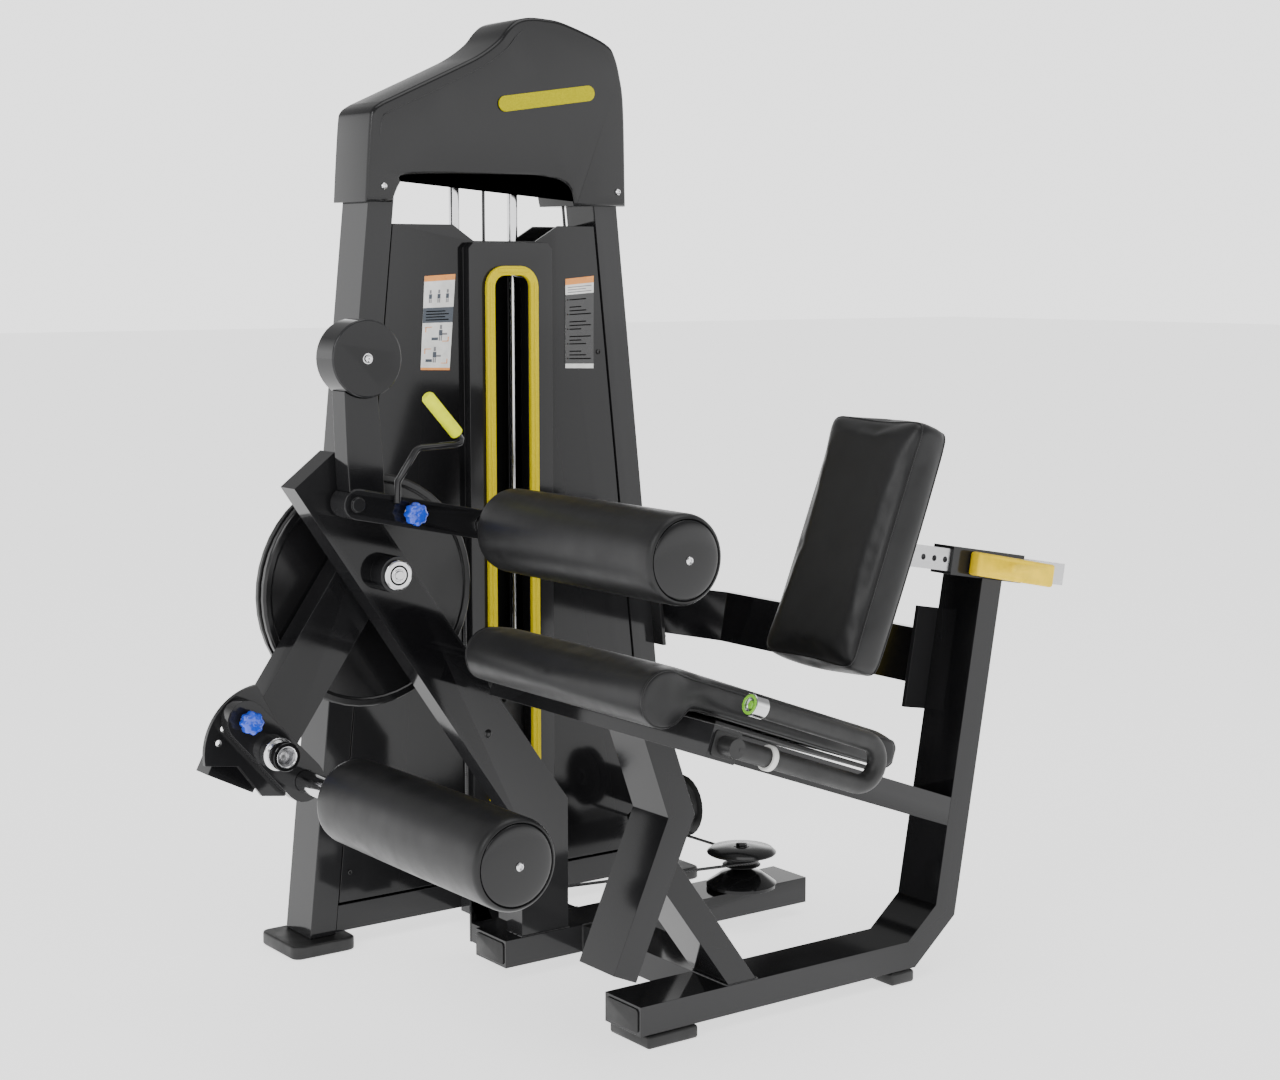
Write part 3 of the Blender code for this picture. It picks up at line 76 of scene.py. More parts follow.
def at(x, y, z):
    """A point given from the frame's own drawing axes."""
    return Vector((x, y, z)) + SHIFT


def seat_at(along, up, y=0.0):
    return SEAT_ORIGIN + SEAT_DIR * along + SEAT_UP * up + Vector((0.0, y, 0.0))


# ---- materials ----
class Look:
    """A procedural material: one Principled shader, object coordinates and helper nodes."""

    def __init__(self, name, colour, roughness, metallic=0.0, specular=0.5):
        self.mat = bpy.data.materials.new(name)
        self.mat.use_nodes = True
        self.tree = self.mat.node_tree
        self.shader = self.tree.nodes["Principled BSDF"]
        self.set("Base Color", (*colour, 1.0))
        self.set("Roughness", roughness)
        self.set("Metallic", metallic)
        self.set("Specular IOR Level", specular)
        self.mat.diffuse_color = (*colour, 1.0)
        self.coords = self.tree.nodes.new("ShaderNodeTexCoord").outputs["Object"]

    def set(self, socket, value):
        self.shader.inputs[socket].default_value = value

    def node(self, kind, **values):
        made = self.tree.nodes.new(kind)
        for key, value in values.items():
            setattr(made, key, value)
        return made

    def noise(self, scale, detail=3.0, stretch=None):
        made = self.node("ShaderNodeTexNoise")
        made.inputs["Scale"].default_value = scale
        made.inputs["Detail"].default_value = detail
        self.tree.links.new(self.stretched(stretch), made.inputs["Vector"])
        return made.outputs["Fac"]

    def cells(self, scale, stretch=None):
        made = self.node("ShaderNodeTexVoronoi", feature="DISTANCE_TO_EDGE")
        made.inputs["Scale"].default_value = scale
        self.tree.links.new(self.stretched(stretch), made.inputs["Vector"])
        return made.outputs["Distance"]

    def stretched(self, stretch):
        if stretch is None:
            return self.coords
        made = self.node("ShaderNodeMapping")
        made.inputs["Scale"].default_value = stretch
        self.tree.links.new(self.coords, made.inputs["Vector"])
        return made.outputs["Vector"]

    def ramp(self, factor, stops):
        made = self.node("ShaderNodeValToRGB")
        elements = made.color_ramp.elements
        while len(elements) < len(stops):
            elements.new(0.5)
        for element, (place, value) in zip(elements, stops):
            element.position = place
            element.color = (*value, 1.0) if isinstance(value, tuple) else (value, value, value, 1.0)
        self.tree.links.new(factor, made.inputs["Fac"])
        return made.outputs["Color"]

    def colour_from(self, factor, stops):
        self.tree.links.new(self.ramp(factor, stops), self.shader.inputs["Base Color"])
        return self

    def roughness_from(self, factor, low, high):
        self.tree.links.new(self.ramp(factor, [(0.3, low), (0.7, high)]), self.shader.inputs["Roughness"])
        return self

    def bump_from(self, *layers):
        """Layers are (height socket, strength, distance)."""
        last = None
        for height, strength, distance in layers:
            made = self.node("ShaderNodeBump")
            made.inputs["Strength"].default_value = strength
            made.inputs["Distance"].default_value = distance
            self.tree.links.new(height, made.inputs["Height"])
            if last is not None:
                self.tree.links.new(last, made.inputs["Normal"])
            last = made.outputs["Normal"]
        self.tree.links.new(last, self.shader.inputs["Normal"])
        return self


def shades(colour, darker=0.8, lighter=1.2):
    low = tuple(c * darker for c in colour)
    high = tuple(min(c * lighter, 1.0) for c in colour)
    return [(0.25, low), (0.75, high)]


def edge_wear(look, colour, worn):
    """A faint paler line where the surface turns a sharp corner."""
    point = look.node("ShaderNodeNewGeometry").outputs["Pointiness"]
    look.colour_from(point, [(0.50, colour), (0.58, worn)])


def black_paint(name="powder_black", colour=(0.0050, 0.0050, 0.0056), rough=(0.055, 0.11)):
    look = Look(name, colour, rough[0], specular=0.32)
    edge_wear(look, colour, (0.022, 0.022, 0.023))
    look.roughness_from(look.noise(7.0), *rough)
    look.bump_from((look.noise(420.0, 2.0), 0.025, 0.0004), (look.noise(40.0, 2.0), 0.015, 0.0008))
    return look.mat


def moulded_black():
    look = Look("moulded_black", (0.007, 0.007, 0.0075), 0.2, specular=0.38)
    look.colour_from(look.noise(3.0), shades((0.007, 0.007, 0.0075), 0.85, 1.2))
    look.roughness_from(look.noise(12.0), 0.14, 0.22)
    look.bump_from((look.noise(700.0, 3.0), 0.07, 0.0003))
    return look.mat


def vinyl():
    colour = (0.0085, 0.0085, 0.0090)
    look = Look("black_vinyl", colour, 0.4, specular=0.32)
    look.set("Sheen Weight", 0.06)
    look.colour_from(look.noise(18.0, 5.0), shades(colour, 0.8, 1.25))
    look.roughness_from(look.noise(40.0, 4.0), 0.34, 0.44)
    look.bump_from((look.cells(620.0), 0.22, 0.0005), (look.noise(150.0, 4.0), 0.10, 0.0006))
    return look.mat


def foam():
    colour = (0.0095, 0.0095, 0.010)
    look = Look("skinned_foam", colour, 0.42, specular=0.32)
    look.colour_from(look.noise(25.0, 4.0), shades(colour, 0.8, 1.2))
    look.roughness_from(look.noise(30.0, 4.0), 0.33, 0.43)
    look.bump_from((look.noise(900.0, 4.0), 0.22, 0.0004), (look.noise(35.0, 2.0), 0.05, 0.0012))
    return look.mat


def rubber():
    colour = (0.011, 0.011, 0.0112)
    look = Look("black_rubber", colour, 0.5, specular=0.4)
    look.colour_from(look.noise(60.0, 4.0), shades(colour, 0.75, 1.3))
    look.roughness_from(look.noise(25.0), 0.38, 0.55)
    look.bump_from((look.noise(1100.0, 3.0), 0.25, 0.0004))
    return look.mat


def iron():
    colour = (0.020, 0.020, 0.021)
    look = Look("plate_iron", colour, 0.45, specular=0.5)
    look.colour_from(look.noise(90.0, 5.0), shades(colour, 0.7, 1.4))
    look.roughness_from(look.noise(50.0), 0.35, 0.6)
    look.bump_from((look.noise(350.0, 4.0), 0.35, 0.0006))
    return look.mat


def steel(name, stretch, rough=(0.14, 0.28), colour=(0.62, 0.62, 0.63)):
    look = Look(name, colour, rough[0], 1.0)
    look.colour_from(look.noise(30.0, 3.0, stretch), shades(colour, 0.88, 1.12))
    look.roughness_from(look.noise(220.0, 3.0, stretch), *rough)
    look.bump_from((look.noise(500.0, 2.0, stretch), 0.05, 0.0002))
    return look.mat


def speckled(name, colour, rough=0.45, scale=900.0, depth=0.4):
    look = Look(name, colour, rough, specular=0.12)
    look.colour_from(look.noise(scale, 4.0), shades(colour, 0.72, 1.25))
    look.roughness_from(look.noise(scale / 2, 3.0), rough - 0.06, rough + 0.1)
    look.bump_from((look.noise(scale, 3.0), depth, 0.0004))
    return look.mat


def glossy(name, colour, rough=0.2, coat=0.4, specular=0.5):
    look = Look(name, colour, rough, specular=specular)
    look.set("Coat Weight", coat)
    look.set("Coat Roughness", 0.06)
    look.colour_from(look.noise(45.0, 3.0), shades(colour, 0.86, 1.12))
    look.roughness_from(look.noise(60.0, 2.0), rough - 0.05, rough + 0.08)
    look.bump_from((look.noise(500.0, 2.0), 0.07, 0.0003))
    return look.mat


def wire_rope():
    """Twisted strands under a dark clear sheath."""
    look = Look("wire_rope", (0.05, 0.05, 0.05), 0.3, 0.3)
    wave = look.node("ShaderNodeTexWave", bands_direction="DIAGONAL")
    wave.inputs["Scale"].default_value = 160.0
    look.tree.links.new(look.coords, wave.inputs["Vector"])
    look.colour_from(wave.outputs["Fac"], [(0.2, (0.012, 0.012, 0.012)), (0.8, (0.07, 0.07, 0.072))])
    look.roughness_from(look.noise(90.0), 0.22, 0.4)
    look.bump_from((wave.outputs["Fac"], 0.5, 0.0006))
    return look.mat


M = {
    "paint": black_paint(),
    "panel": black_paint("panel_black", (0.0055, 0.0055, 0.0060), (0.06, 0.12)),
    "moulded": moulded_black(),
    "vinyl": vinyl(),
    "foam": foam(),
    "rubber": rubber(),
    "iron": iron(),
    "chrome": steel("chrome_round", (1.0, 0.05, 1.0), (0.08, 0.18), (0.66, 0.66, 0.67)),
    "rod": steel("chrome_rod", (1.0, 1.0, 0.04), (0.08, 0.2), (0.66, 0.66, 0.67)),
    "brushed": steel("brushed_bar", (0.05, 1.0, 1.0), (0.26, 0.4), (0.52, 0.52, 0.53)),
    "yellow": speckled("trim_yellow", (0.66, 0.53, 0.0), 0.5, 900.0, 0.15),
    "badge": speckled("badge_yellow", (0.42, 0.38, 0.0), 0.55, 700.0, 0.3),
    "lemon": glossy("lemon_grip", (0.80, 0.86, 0.0), 0.5, 0.0, 0.08),
    "lever": glossy("lever_yellow", (0.88, 0.60, 0.0), 0.35, 0.04, 0.15),
    "blue": glossy("knob_blue", (0.012, 0.065, 0.62), 0.16, 0.7),
    "green": glossy("ring_green", (0.20, 0.52, 0.03), 0.3, 0.3),
    "white": glossy("collar_white", (0.62, 0.62, 0.60), 0.3, 0.2),
    # Painted shade: a near-black finish for flat pieces that stand for the shadow inside holes and grooves.
    "hole": speckled("shadow_black", (0.002, 0.002, 0.002), 0.7, 300.0, 0.2),
    "paper": glossy("card_white", (0.72, 0.72, 0.70), 0.3, 0.5),
    "card_dark": glossy("card_navy", (0.012, 0.025, 0.045), 0.3, 0.5),
    "card_black": glossy("card_black", (0.010, 0.010, 0.011), 0.3, 0.5),
    "card_orange": glossy("card_orange", (0.80, 0.27, 0.02), 0.3, 0.5),
    "card_grey": glossy("card_grey", (0.16, 0.16, 0.17), 0.3, 0.5),
    "cable": wire_rope(),
}


# ---- mesh helpers ----
def make(name, bm, mats, smooth=True, sharp=35.0):
    bmesh.ops.remove_doubles(bm, verts=bm.verts, dist=1e-6)
    bmesh.ops.recalc_face_normals(bm, faces=bm.faces)
    mesh = bpy.data.meshes.new(name)
    bm.to_mesh(mesh)
    bm.free()
    for face in mesh.polygons:
        face.use_smooth = smooth
    if smooth:
        mesh.set_sharp_from_angle(angle=math.radians(sharp))
    for mat in mats if isinstance(mats, (list, tuple)) else [mats]:
        mesh.materials.append(mat)
    obj = bpy.data.objects.new(name, mesh)
    bpy.context.scene.collection.objects.link(obj)
    return obj


def basis(axis):
    axis = Vector(axis).normalized()
    helper = Vector((0.0, 0.0, 1.0)) if abs(axis.z) < 0.9 else Vector((1.0, 0.0, 0.0))
    side = axis.cross(helper).normalized()
    return axis, side, axis.cross(side)


def turned(name, profile, start, axis, mat, sides=48, lobes=0, depth=0.0):
    """Turned piece: profile lists (radius, distance along the axis); lobes dent its widest part."""
    axis, side, other = basis(axis)
    widest = max(radius for radius, along in profile)
    bm = bmesh.new()
    rings = []
    for radius, along in profile:
        centre = Vector(start) + axis * along
        if radius < 1e-7:
            rings.append([bm.verts.new(centre)])
            continue
        loop = []
        for i in range(sides):
            turn = 2.0 * math.pi * i / sides
            dent = depth * (radius / widest) ** 2 * (0.5 - 0.5 * math.cos(turn * lobes)) if lobes else 0.0
            outward = side * math.cos(turn) + other * math.sin(turn)
            loop.append(bm.verts.new(centre + outward * (radius - dent)))
        rings.append(loop)
    pairs = list(zip(rings, rings[1:]))
    if profile[0][0] > 1e-7:
        pairs.append((rings[-1], rings[0]))
    for one, two in pairs:
        for i in range(sides):
            j = (i + 1) % sides
            corners = []
            for vert in (one[i % len(one)], one[j % len(one)], two[j % len(two)], two[i % len(two)]):
                if vert not in corners:
                    corners.append(vert)
            if len(corners) > 2:
                bm.faces.new(corners)
    return make(name, bm, mat)


def tube(name, points, radius, mat, sides=20, closed=False):
    """Round bar along a line of points."""
    bm = bmesh.new()
    points = [Vector(p) for p in points]
    count = len(points)
    rings = []
    normal = None
    for i, point in enumerate(points):
        before = points[(i - 1) % count] if closed else points[max(i - 1, 0)]
        after = points[(i + 1) % count] if closed else points[min(i + 1, count - 1)]
        tangent = (after - before).normalized()
        if normal is None:
            away = Vector((0.0, 1.0, 0.0)) if abs(tangent.y) < 0.9 else Vector((0.0, 0.0, 1.0))
            normal = tangent.cross(away)
        normal = (normal - tangent * normal.dot(tangent)).normalized()
        other = tangent.cross(normal)
        loop = []
        for k in range(sides):
            turn = 2.0 * math.pi * k / sides
            loop.append(bm.verts.new(point + (normal * math.cos(turn) + other * math.sin(turn)) * radius))
        rings.append(loop)
    pairs = list(zip(rings, rings[1:]))
    if closed:
        pairs.append((rings[-1], rings[0]))
    for one, two in pairs:
        for k in range(sides):
            m = (k + 1) % sides
            bm.faces.new((one[k], one[m], two[m], two[k]))
    if not closed:
        bm.faces.new(rings[0][::-1])
        bm.faces.new(rings[-1])
    return make(name, bm, mat)


def slab(name, corners, thickness, mat, edge=0.0, segments=2):
    """Flat plate: corners lie in one plane, thickness runs along the plane's normal."""
    bm = bmesh.new()
    corners = [Vector(c) for c in corners]
    normal = (corners[1] - corners[0]).cross(corners[2] - corners[1]).normalized()
    low = [bm.verts.new(c) for c in corners]
    high = [bm.verts.new(c + normal * thickness) for c in corners]
    bm.faces.new(low[::-1])
    bm.faces.new(high)
    for i in range(len(corners)):
        j = (i + 1) % len(corners)
        bm.faces.new((low[i], low[j], high[j], high[i]))
    if edge:
        bmesh.ops.recalc_face_normals(bm, faces=bm.faces)
        bmesh.ops.bevel(bm, geom=bm.edges[:], offset=edge, segments=segments, profile=0.5, affect="EDGES")
    return make(name, bm, mat, smooth=bool(edge), sharp=50.0)


def merged(name, objs):
    """Several made pieces as one, each keeping its material."""
    bm = bmesh.new()
    mats = []
    for obj in objs:
        start = len(bm.faces)
        bm.from_mesh(obj.data)
        bm.faces.ensure_lookup_table()
        base = len(mats)
        mats += list(obj.data.materials)
        for face in bm.faces[start:]:
            face.material_index += base
        old = obj.data
        bpy.data.objects.remove(obj, do_unlink=True)
        bpy.data.meshes.remove(old)
    mesh = bpy.data.meshes.new(name)
    bm.to_mesh(mesh)
    bm.free()
    for mat in mats:
        mesh.materials.append(mat)
    obj = bpy.data.objects.new(name, mesh)
    bpy.context.scene.collection.objects.link(obj)
    return obj


def settle(obj, body, slot=None, *replaced):
    """The piece moves with a body and may stand for CAD nodes, which it hides; slot is not used."""
    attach(obj, body)
    if replaced:
        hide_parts(*replaced)
    return obj


def hex_bolt(name, centre, axis, size, height, mat):
    """Bolt head with rounded edges on a thin washer; centre lies on the seat of the head."""
    axis, side, other = basis(axis)
    bm = bmesh.new()
    low, high = [], []
    for i in range(6):
        turn = math.pi * i / 3
        out = side * math.cos(turn) + other * math.sin(turn)
        low.append(bm.verts.new(Vector(centre) + out * size))
        high.append(bm.verts.new(Vector(centre) + out * size + axis * height))
    bm.faces.new(low[::-1])
    bm.faces.new(high)
    for i in range(6):
        j = (i + 1) % 6
        bm.faces.new((low[i], low[j], high[j], high[i]))
    bmesh.ops.recalc_face_normals(bm, faces=bm.faces)
    bmesh.ops.bevel(bm, geom=bm.edges[:], offset=height * 0.16, segments=2, profile=0.5, affect="EDGES")
    head = make(name, bm, mat, sharp=50.0)
    washer_profile = [(0, -0.0002), (size * 1.32, -0.0002), (size * 1.36, 0.0004)]
    washer_profile += [(size * 1.3, 0.0010), (0, 0.0010)]
    washer = turned("washer", washer_profile, centre, axis, mat, 32)
    return merged(name, [head, washer])


def cap_screw(name, centre, axis, radius, mat):
    """Round screw head with a sunk socket."""
    h = radius * 0.55
    profile = [(0, h * 0.3), (radius * 0.42, h * 0.3), (radius * 0.50, h * 0.85), (radius * 0.72, h)]
    profile += [(radius * 0.95, h * 0.6), (radius, 0.0), (0, -0.0004)]
    return turned(name, profile, centre, axis, mat, 32)


# ---- carried-over frame nodes ----
PAINTED = (
    "base_and_column floor_crossbar tower_left_post tower_right_post tower_base_tube tower_top_beam "
    "seat_frame tie_rail pivot_post lever_arm shin_bracket thigh_arm backrest_plate release_bar"
).split()
ROD_NODES = ["left_guide_rod", "right_guide_rod"]
NODE_LOOKS = {
    "front_foot": "rubber", "rear_foot": "rubber", "tower_left_foot": "rubber", "tower_right_foot": "rubber",
    "left_stack_buffer": "rubber", "right_stack_buffer": "rubber", "seat_board": "rubber",
    "floor_pulley_guard": "moulded", "front_cover": "panel", "rear_cover": "panel",
    "window_trim": "yellow", "head_badge": "badge", "resting_plates": "iron", "lifted_plates": "iron",
    "stack_top_plate": "iron", "backrest_slide": "brushed", "main_axle": "chrome",
    "adjuster_pivot_pin": "chrome",
    "shin_axle": "chrome", "thigh_axle": "chrome", "slide_lever": "lever", "release_grip": "lemon",
    "selector_pin": "lever", "counterweight": "paint", "cable_cam": "moulded", "lift_cable": "cable",
    "near_handle_end": "chrome", "far_handle_end": "chrome",
}
EDGE_WIDTHS = {
    "front_cover": 0.0012, "rear_cover": 0.0012, "window_trim": 0.0022,
    "front_foot": 0.0, "rear_foot": 0.0, "slide_lever": 0.0, "head_badge": 0.0012, "seat_board": 0.002,
    "resting_plates": 0.0006, "lifted_plates": 0.0006, "lift_cable": 0.0, "release_bar": 0.0005,
    "tower_left_foot": 0.004, "tower_right_foot": 0.004, "lever_arm": 0.0014, "shin_bracket": 0.0014,
}
PULLEYS = ["head_pulley_one", "head_pulley_two", "tower_pulley", "guide_pulley", "floor_pulley", "cam_pulley"]


def dress(node, look, width):
    """Material and soft edges on a node that keeps its own shape."""
    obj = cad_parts[node]
    mesh = obj.data
    for slot in obj.material_slots:
        slot.material = M[look]
    if "custom_normal" in mesh.attributes:
        mesh.attributes.remove(mesh.attributes["custom_normal"])
    mesh.polygons.foreach_set("use_smooth", [True] * len(mesh.polygons))
    weld = obj.modifiers.new("weld", "WELD")
    weld.merge_threshold = 0.00005
    plain = obj.modifiers.new("plain", "DECIMATE")
    plain.decimate_type = "DISSOLVE"
    plain.angle_limit = math.radians(0.5)
    if width:
        edge = obj.modifiers.new("edge", "BEVEL")
        edge.width = width
        edge.segments = 3
        edge.limit_method = "ANGLE"
        edge.angle_limit = math.radians(40)
        edge.harden_normals = True


def dress_frame():
    looks = {node: "paint" for node in PAINTED}
    looks.update({node: "rod" for node in ROD_NODES})
    looks.update({node: "rubber" for node in PULLEYS})
    looks.update(NODE_LOOKS)
    for node, look in looks.items():
        dress(node, look, EDGE_WIDTHS.get(node, 0.0016))


# ---- padded pieces ----
def evaluated_copy(obj, name, mat):
    graph = bpy.context.evaluated_depsgraph_get()
    graph.update()
    mesh = bpy.data.meshes.new_from_object(obj.evaluated_get(graph))
    made = bpy.data.objects.new(name, mesh)
    bpy.context.scene.collection.objects.link(made)
    mesh.materials.clear()
    mesh.materials.append(mat)
    return made


def shrunk(obj, by):
    for vert, normal in [(v, v.normal.copy()) for v in obj.data.vertices]:
        vert.co -= normal * by


def puffed(node, name, rest_side, pressure, cap, rounding=8, voxel=0.0055, start=0.003):
    """Cushion blown up by cloth simulation from its plain solid; it stays flat where it rests."""
    body = evaluated_copy(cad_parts[node], name + "_start", M["vinyl"])
    remesh = body.modifiers.new("remesh", "REMESH")
    remesh.mode = "VOXEL"
    remesh.voxel_size = voxel
    smooth = body.modifiers.new("smooth", "SMOOTH")
    smooth.factor = 0.5
    smooth.iterations = rounding
    pad = evaluated_copy(body, name, M["vinyl"])
    bpy.data.objects.remove(body, do_unlink=True)
    shrunk(pad, start)
    rest_side = Vector(rest_side).normalized()
    before = [v.co.copy() for v in pad.data.vertices]
    held = pad.vertex_groups.new(name="held")
    held.add([v.index for v in pad.data.vertices if v.normal.dot(rest_side) > 0.8], 1.0, "REPLACE")
    cloth = pad.modifiers.new("puff", "CLOTH")
    cloth.settings.quality = 4
    cloth.settings.mass = 0.3
    cloth.settings.use_pressure = True
    cloth.settings.uniform_pressure_force = pressure
    cloth.settings.tension_stiffness = 40
    cloth.settings.compression_stiffness = 40
    cloth.settings.shear_stiffness = 20
    cloth.settings.bending_stiffness = 8.0
    cloth.settings.vertex_group_mass = "held"
    cloth.settings.effector_weights.gravity = 0.0
    cloth.collision_settings.use_collision = False
    cloth.point_cache.frame_start = 1
    cloth.point_cache.frame_end = 20
    for step in range(1, 21):
        bpy.context.scene.frame_set(step)
    graph = bpy.context.evaluated_depsgraph_get()
    moved = [v.co.copy() for v in pad.evaluated_get(graph).data.vertices]
    pad.modifiers.clear()
    bpy.context.scene.frame_set(1)
    for vert, was, now in zip(pad.data.vertices, before, moved):
        step = now - was
        vert.co = was + step * min(1.0, cap / max(step.length, 1e-9))
    even = pad.modifiers.new("even", "SMOOTH")
    even.factor = 0.5
    even.iterations = 14
    final = pad.modifiers.new("fine", "SUBSURF")
    final.levels = 1
    final.render_levels = 1
    pad.data.polygons.foreach_set("use_smooth", [True] * len(pad.data.polygons))
    return pad


def seam(name, pad, line, radius, mat, closed=True):
    """Raised welt laid onto the cushion's final surface along a line near it."""
    graph = bpy.context.evaluated_depsgraph_get()
    graph.update()
    tree = BVHTree.FromObject(pad, graph)
    points = []
    for point in line:
        place, normal, index, distance = tree.find_nearest(Vector(point))
        points.append(place + normal * radius * 0.15)
    return tube(name, points, radius, mat, 10, closed)


def seat_profile(grow=0.0):
    """Side outline of the seat cushion: a roll in front, a flat pad behind it."""
    roll = SEAT_ROLL + grow
    low = SEAT_ROLL - SEAT_THICK - grow
    start = math.asin(low / roll)
    points = []
    steps = 44
    for i in range(steps + 1):
        turn = math.pi / 2 + (3 * math.pi / 2 + start) * i / steps
        points.append((roll * math.cos(turn), roll * math.sin(turn)))
    back = SEAT_LENGTH + grow
    for i in range(1, 24):
        points.append((roll * math.cos(start) + (back - roll * math.cos(start)) * i / 24, low))
    for i in range(7):
        turn = -math.pi / 2 + math.pi / 2 * i / 6
        points.append((back - 0.012 + 0.012 * math.cos(turn), low + 0.012 + 0.012 * math.sin(turn)))
    for i in range(7):
        turn = math.pi / 2 * i / 6
        points.append((back - 0.016 + 0.016 * math.cos(turn), roll - 0.016 + 0.016 * math.sin(turn)))
    for i in range(1, 24):
        points.append((back - 0.016 - (back - 0.016) * i / 24, roll))
    return points


def make_seat():
    pad = puffed("seat_cushion", "seat_pad", -SEAT_UP, 4.0, 0.006)
    settle(pad, "frame", "pad_vinyl", "seat_cushion")
    for side, word in ((-1, "near"), (1, "far")):
        line = [seat_at(s, n, side * (SEAT_HALF - 0.004)) for s, n in seat_profile(0.0)]
        welt = seam(f"seat_welt_{word}", pad, line, 0.0017, M["vinyl"])
        settle(welt, "frame", "pad_vinyl")


def back_frame():
    up = Vector((math.sin(BACK_LEAN), 0, math.cos(BACK_LEAN)))
    rear = Vector((math.cos(BACK_LEAN), 0, -math.sin(BACK_LEAN)))
    return at(0.206, 0.0, 0.807), up, rear


def make_backrest():
    centre, up, rear = back_frame()
    pad = puffed("backrest_cushion", "backrest_pad", rear, 4.0, 0.006, 26)
    settle(pad, "backrest", "pad_vinyl", "backrest_cushion")
    for name, depth in (("backrest_welt_front", 0.010), ("backrest_welt_rear", 0.074)):
        line = []
        half_w, half_h, r = 0.1225, 0.225, 0.028
        for cy, cz, turn0 in ((1, 1, 0), (-1, 1, 90), (-1, -1, 180), (1, -1, 270)):
            for i in range(9):
                turn = math.radians(turn0 + 90 * i / 8)
                y = cy * (half_w - r) + r * math.cos(turn)
                z = cz * (half_h - r) + r * math.sin(turn)
                line.append(centre + rear * depth + up * z + Vector((0, y, 0)))
        dense = []
        for a, b in zip(line, line[1:] + line[:1]):
            count = max(1, int((b - a).length / 0.02))
            dense += [a.lerp(b, k / count) for k in range(count)]
        settle(seam(name, pad, dense, 0.0016, M["vinyl"]), "backrest", "pad_vinyl")


def make_roller(node, name, body):
    """Foam roll on its axle with a domed end cap and a bolt."""
    low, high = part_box(node)
    axis = Vector((0, 1, 0))
    x, z = (low.x + high.x) / 2, (low.z + high.z) / 2
    start = Vector((x, low.y + 0.0055, z))
    length = high.y - low.y - 0.0055
    r = (high.x - low.x) / 2
    inner = 0.0618
    profile = [(inner, 0.016), (inner, 0.0040), (inner + 0.0004, 0.0026), (inner + 0.0014, 0.0016)]
    profile += [(inner + 0.0030, 0.0020), (r - 0.0042, 0.0034), (r - 0.0026, 0.0056)]
    profile += [(r - 0.0013, 0.0086), (r - 0.0006, 0.0135)]
    steps = 18
    for i in range(1, steps):
        t = i / steps
        profile.append((r - 0.0006 + 0.0006 * math.sin(math.pi * t), 0.0135 + (length - 0.0255) * t))
    profile += [(r - 0.0006, length - 0.012), (r - 0.0016, length - 0.006), (r - 0.0045, length - 0.0022)]
    profile += [(r - 0.010, length), (0.024, length), (0.0225, length - 0.003)]
    profile += [(0.0195, length - 0.003), (0.0195, 0.016)]
    foam_roll = turned(name, profile, start, axis, M["foam"], 96)
    settle(foam_roll, body, "pad_vinyl", node)
    dome = []
    for i in range(13):
        a = math.radians(90 * i / 12)
        dome.append((0.0612 * math.sin(a), 0.0036 - 0.0086 * math.cos(a)))
    dome += [(0.0614, 0.0060), (0.0614, 0.0165), (0, 0.0165)]
    cap = turned(name + "_cap", dome, start, axis, M["moulded"], 80)
    settle(cap, body, "black_rubber")
    bolt = cap_screw(name + "_bolt", start + axis * -0.0043, -axis, 0.0068, M["chrome"])
    settle(bolt, body, "bright_steel")


def make_rollers():
    make_roller("shin_roller", "shin_roll_foam", "shin_pad")
    make_roller("thigh_roller", "thigh_roll_foam", "thigh_pad")
    for node, body in (("shin_axle", "shin_link"), ("thigh_axle", "thigh_bar")):
        low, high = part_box(node)
        x, z = (low.x + high.x) / 2, (low.z + high.z) / 2
        roller_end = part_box(node.replace("axle", "roller"))[1].y
        ring = [(0.0192, 0.0), (0.0255, 0.0), (0.0262, 0.001)]
        ring += [(0.0262, 0.010), (0.0255, 0.011), (0.0192, 0.011)]
        collar_end = Vector((x, roller_end + 0.002, z))
        collar = turned(node + "_collar", ring, collar_end, (0, 1, 0), M["moulded"], 48)
        settle(collar, body, "black_rubber")


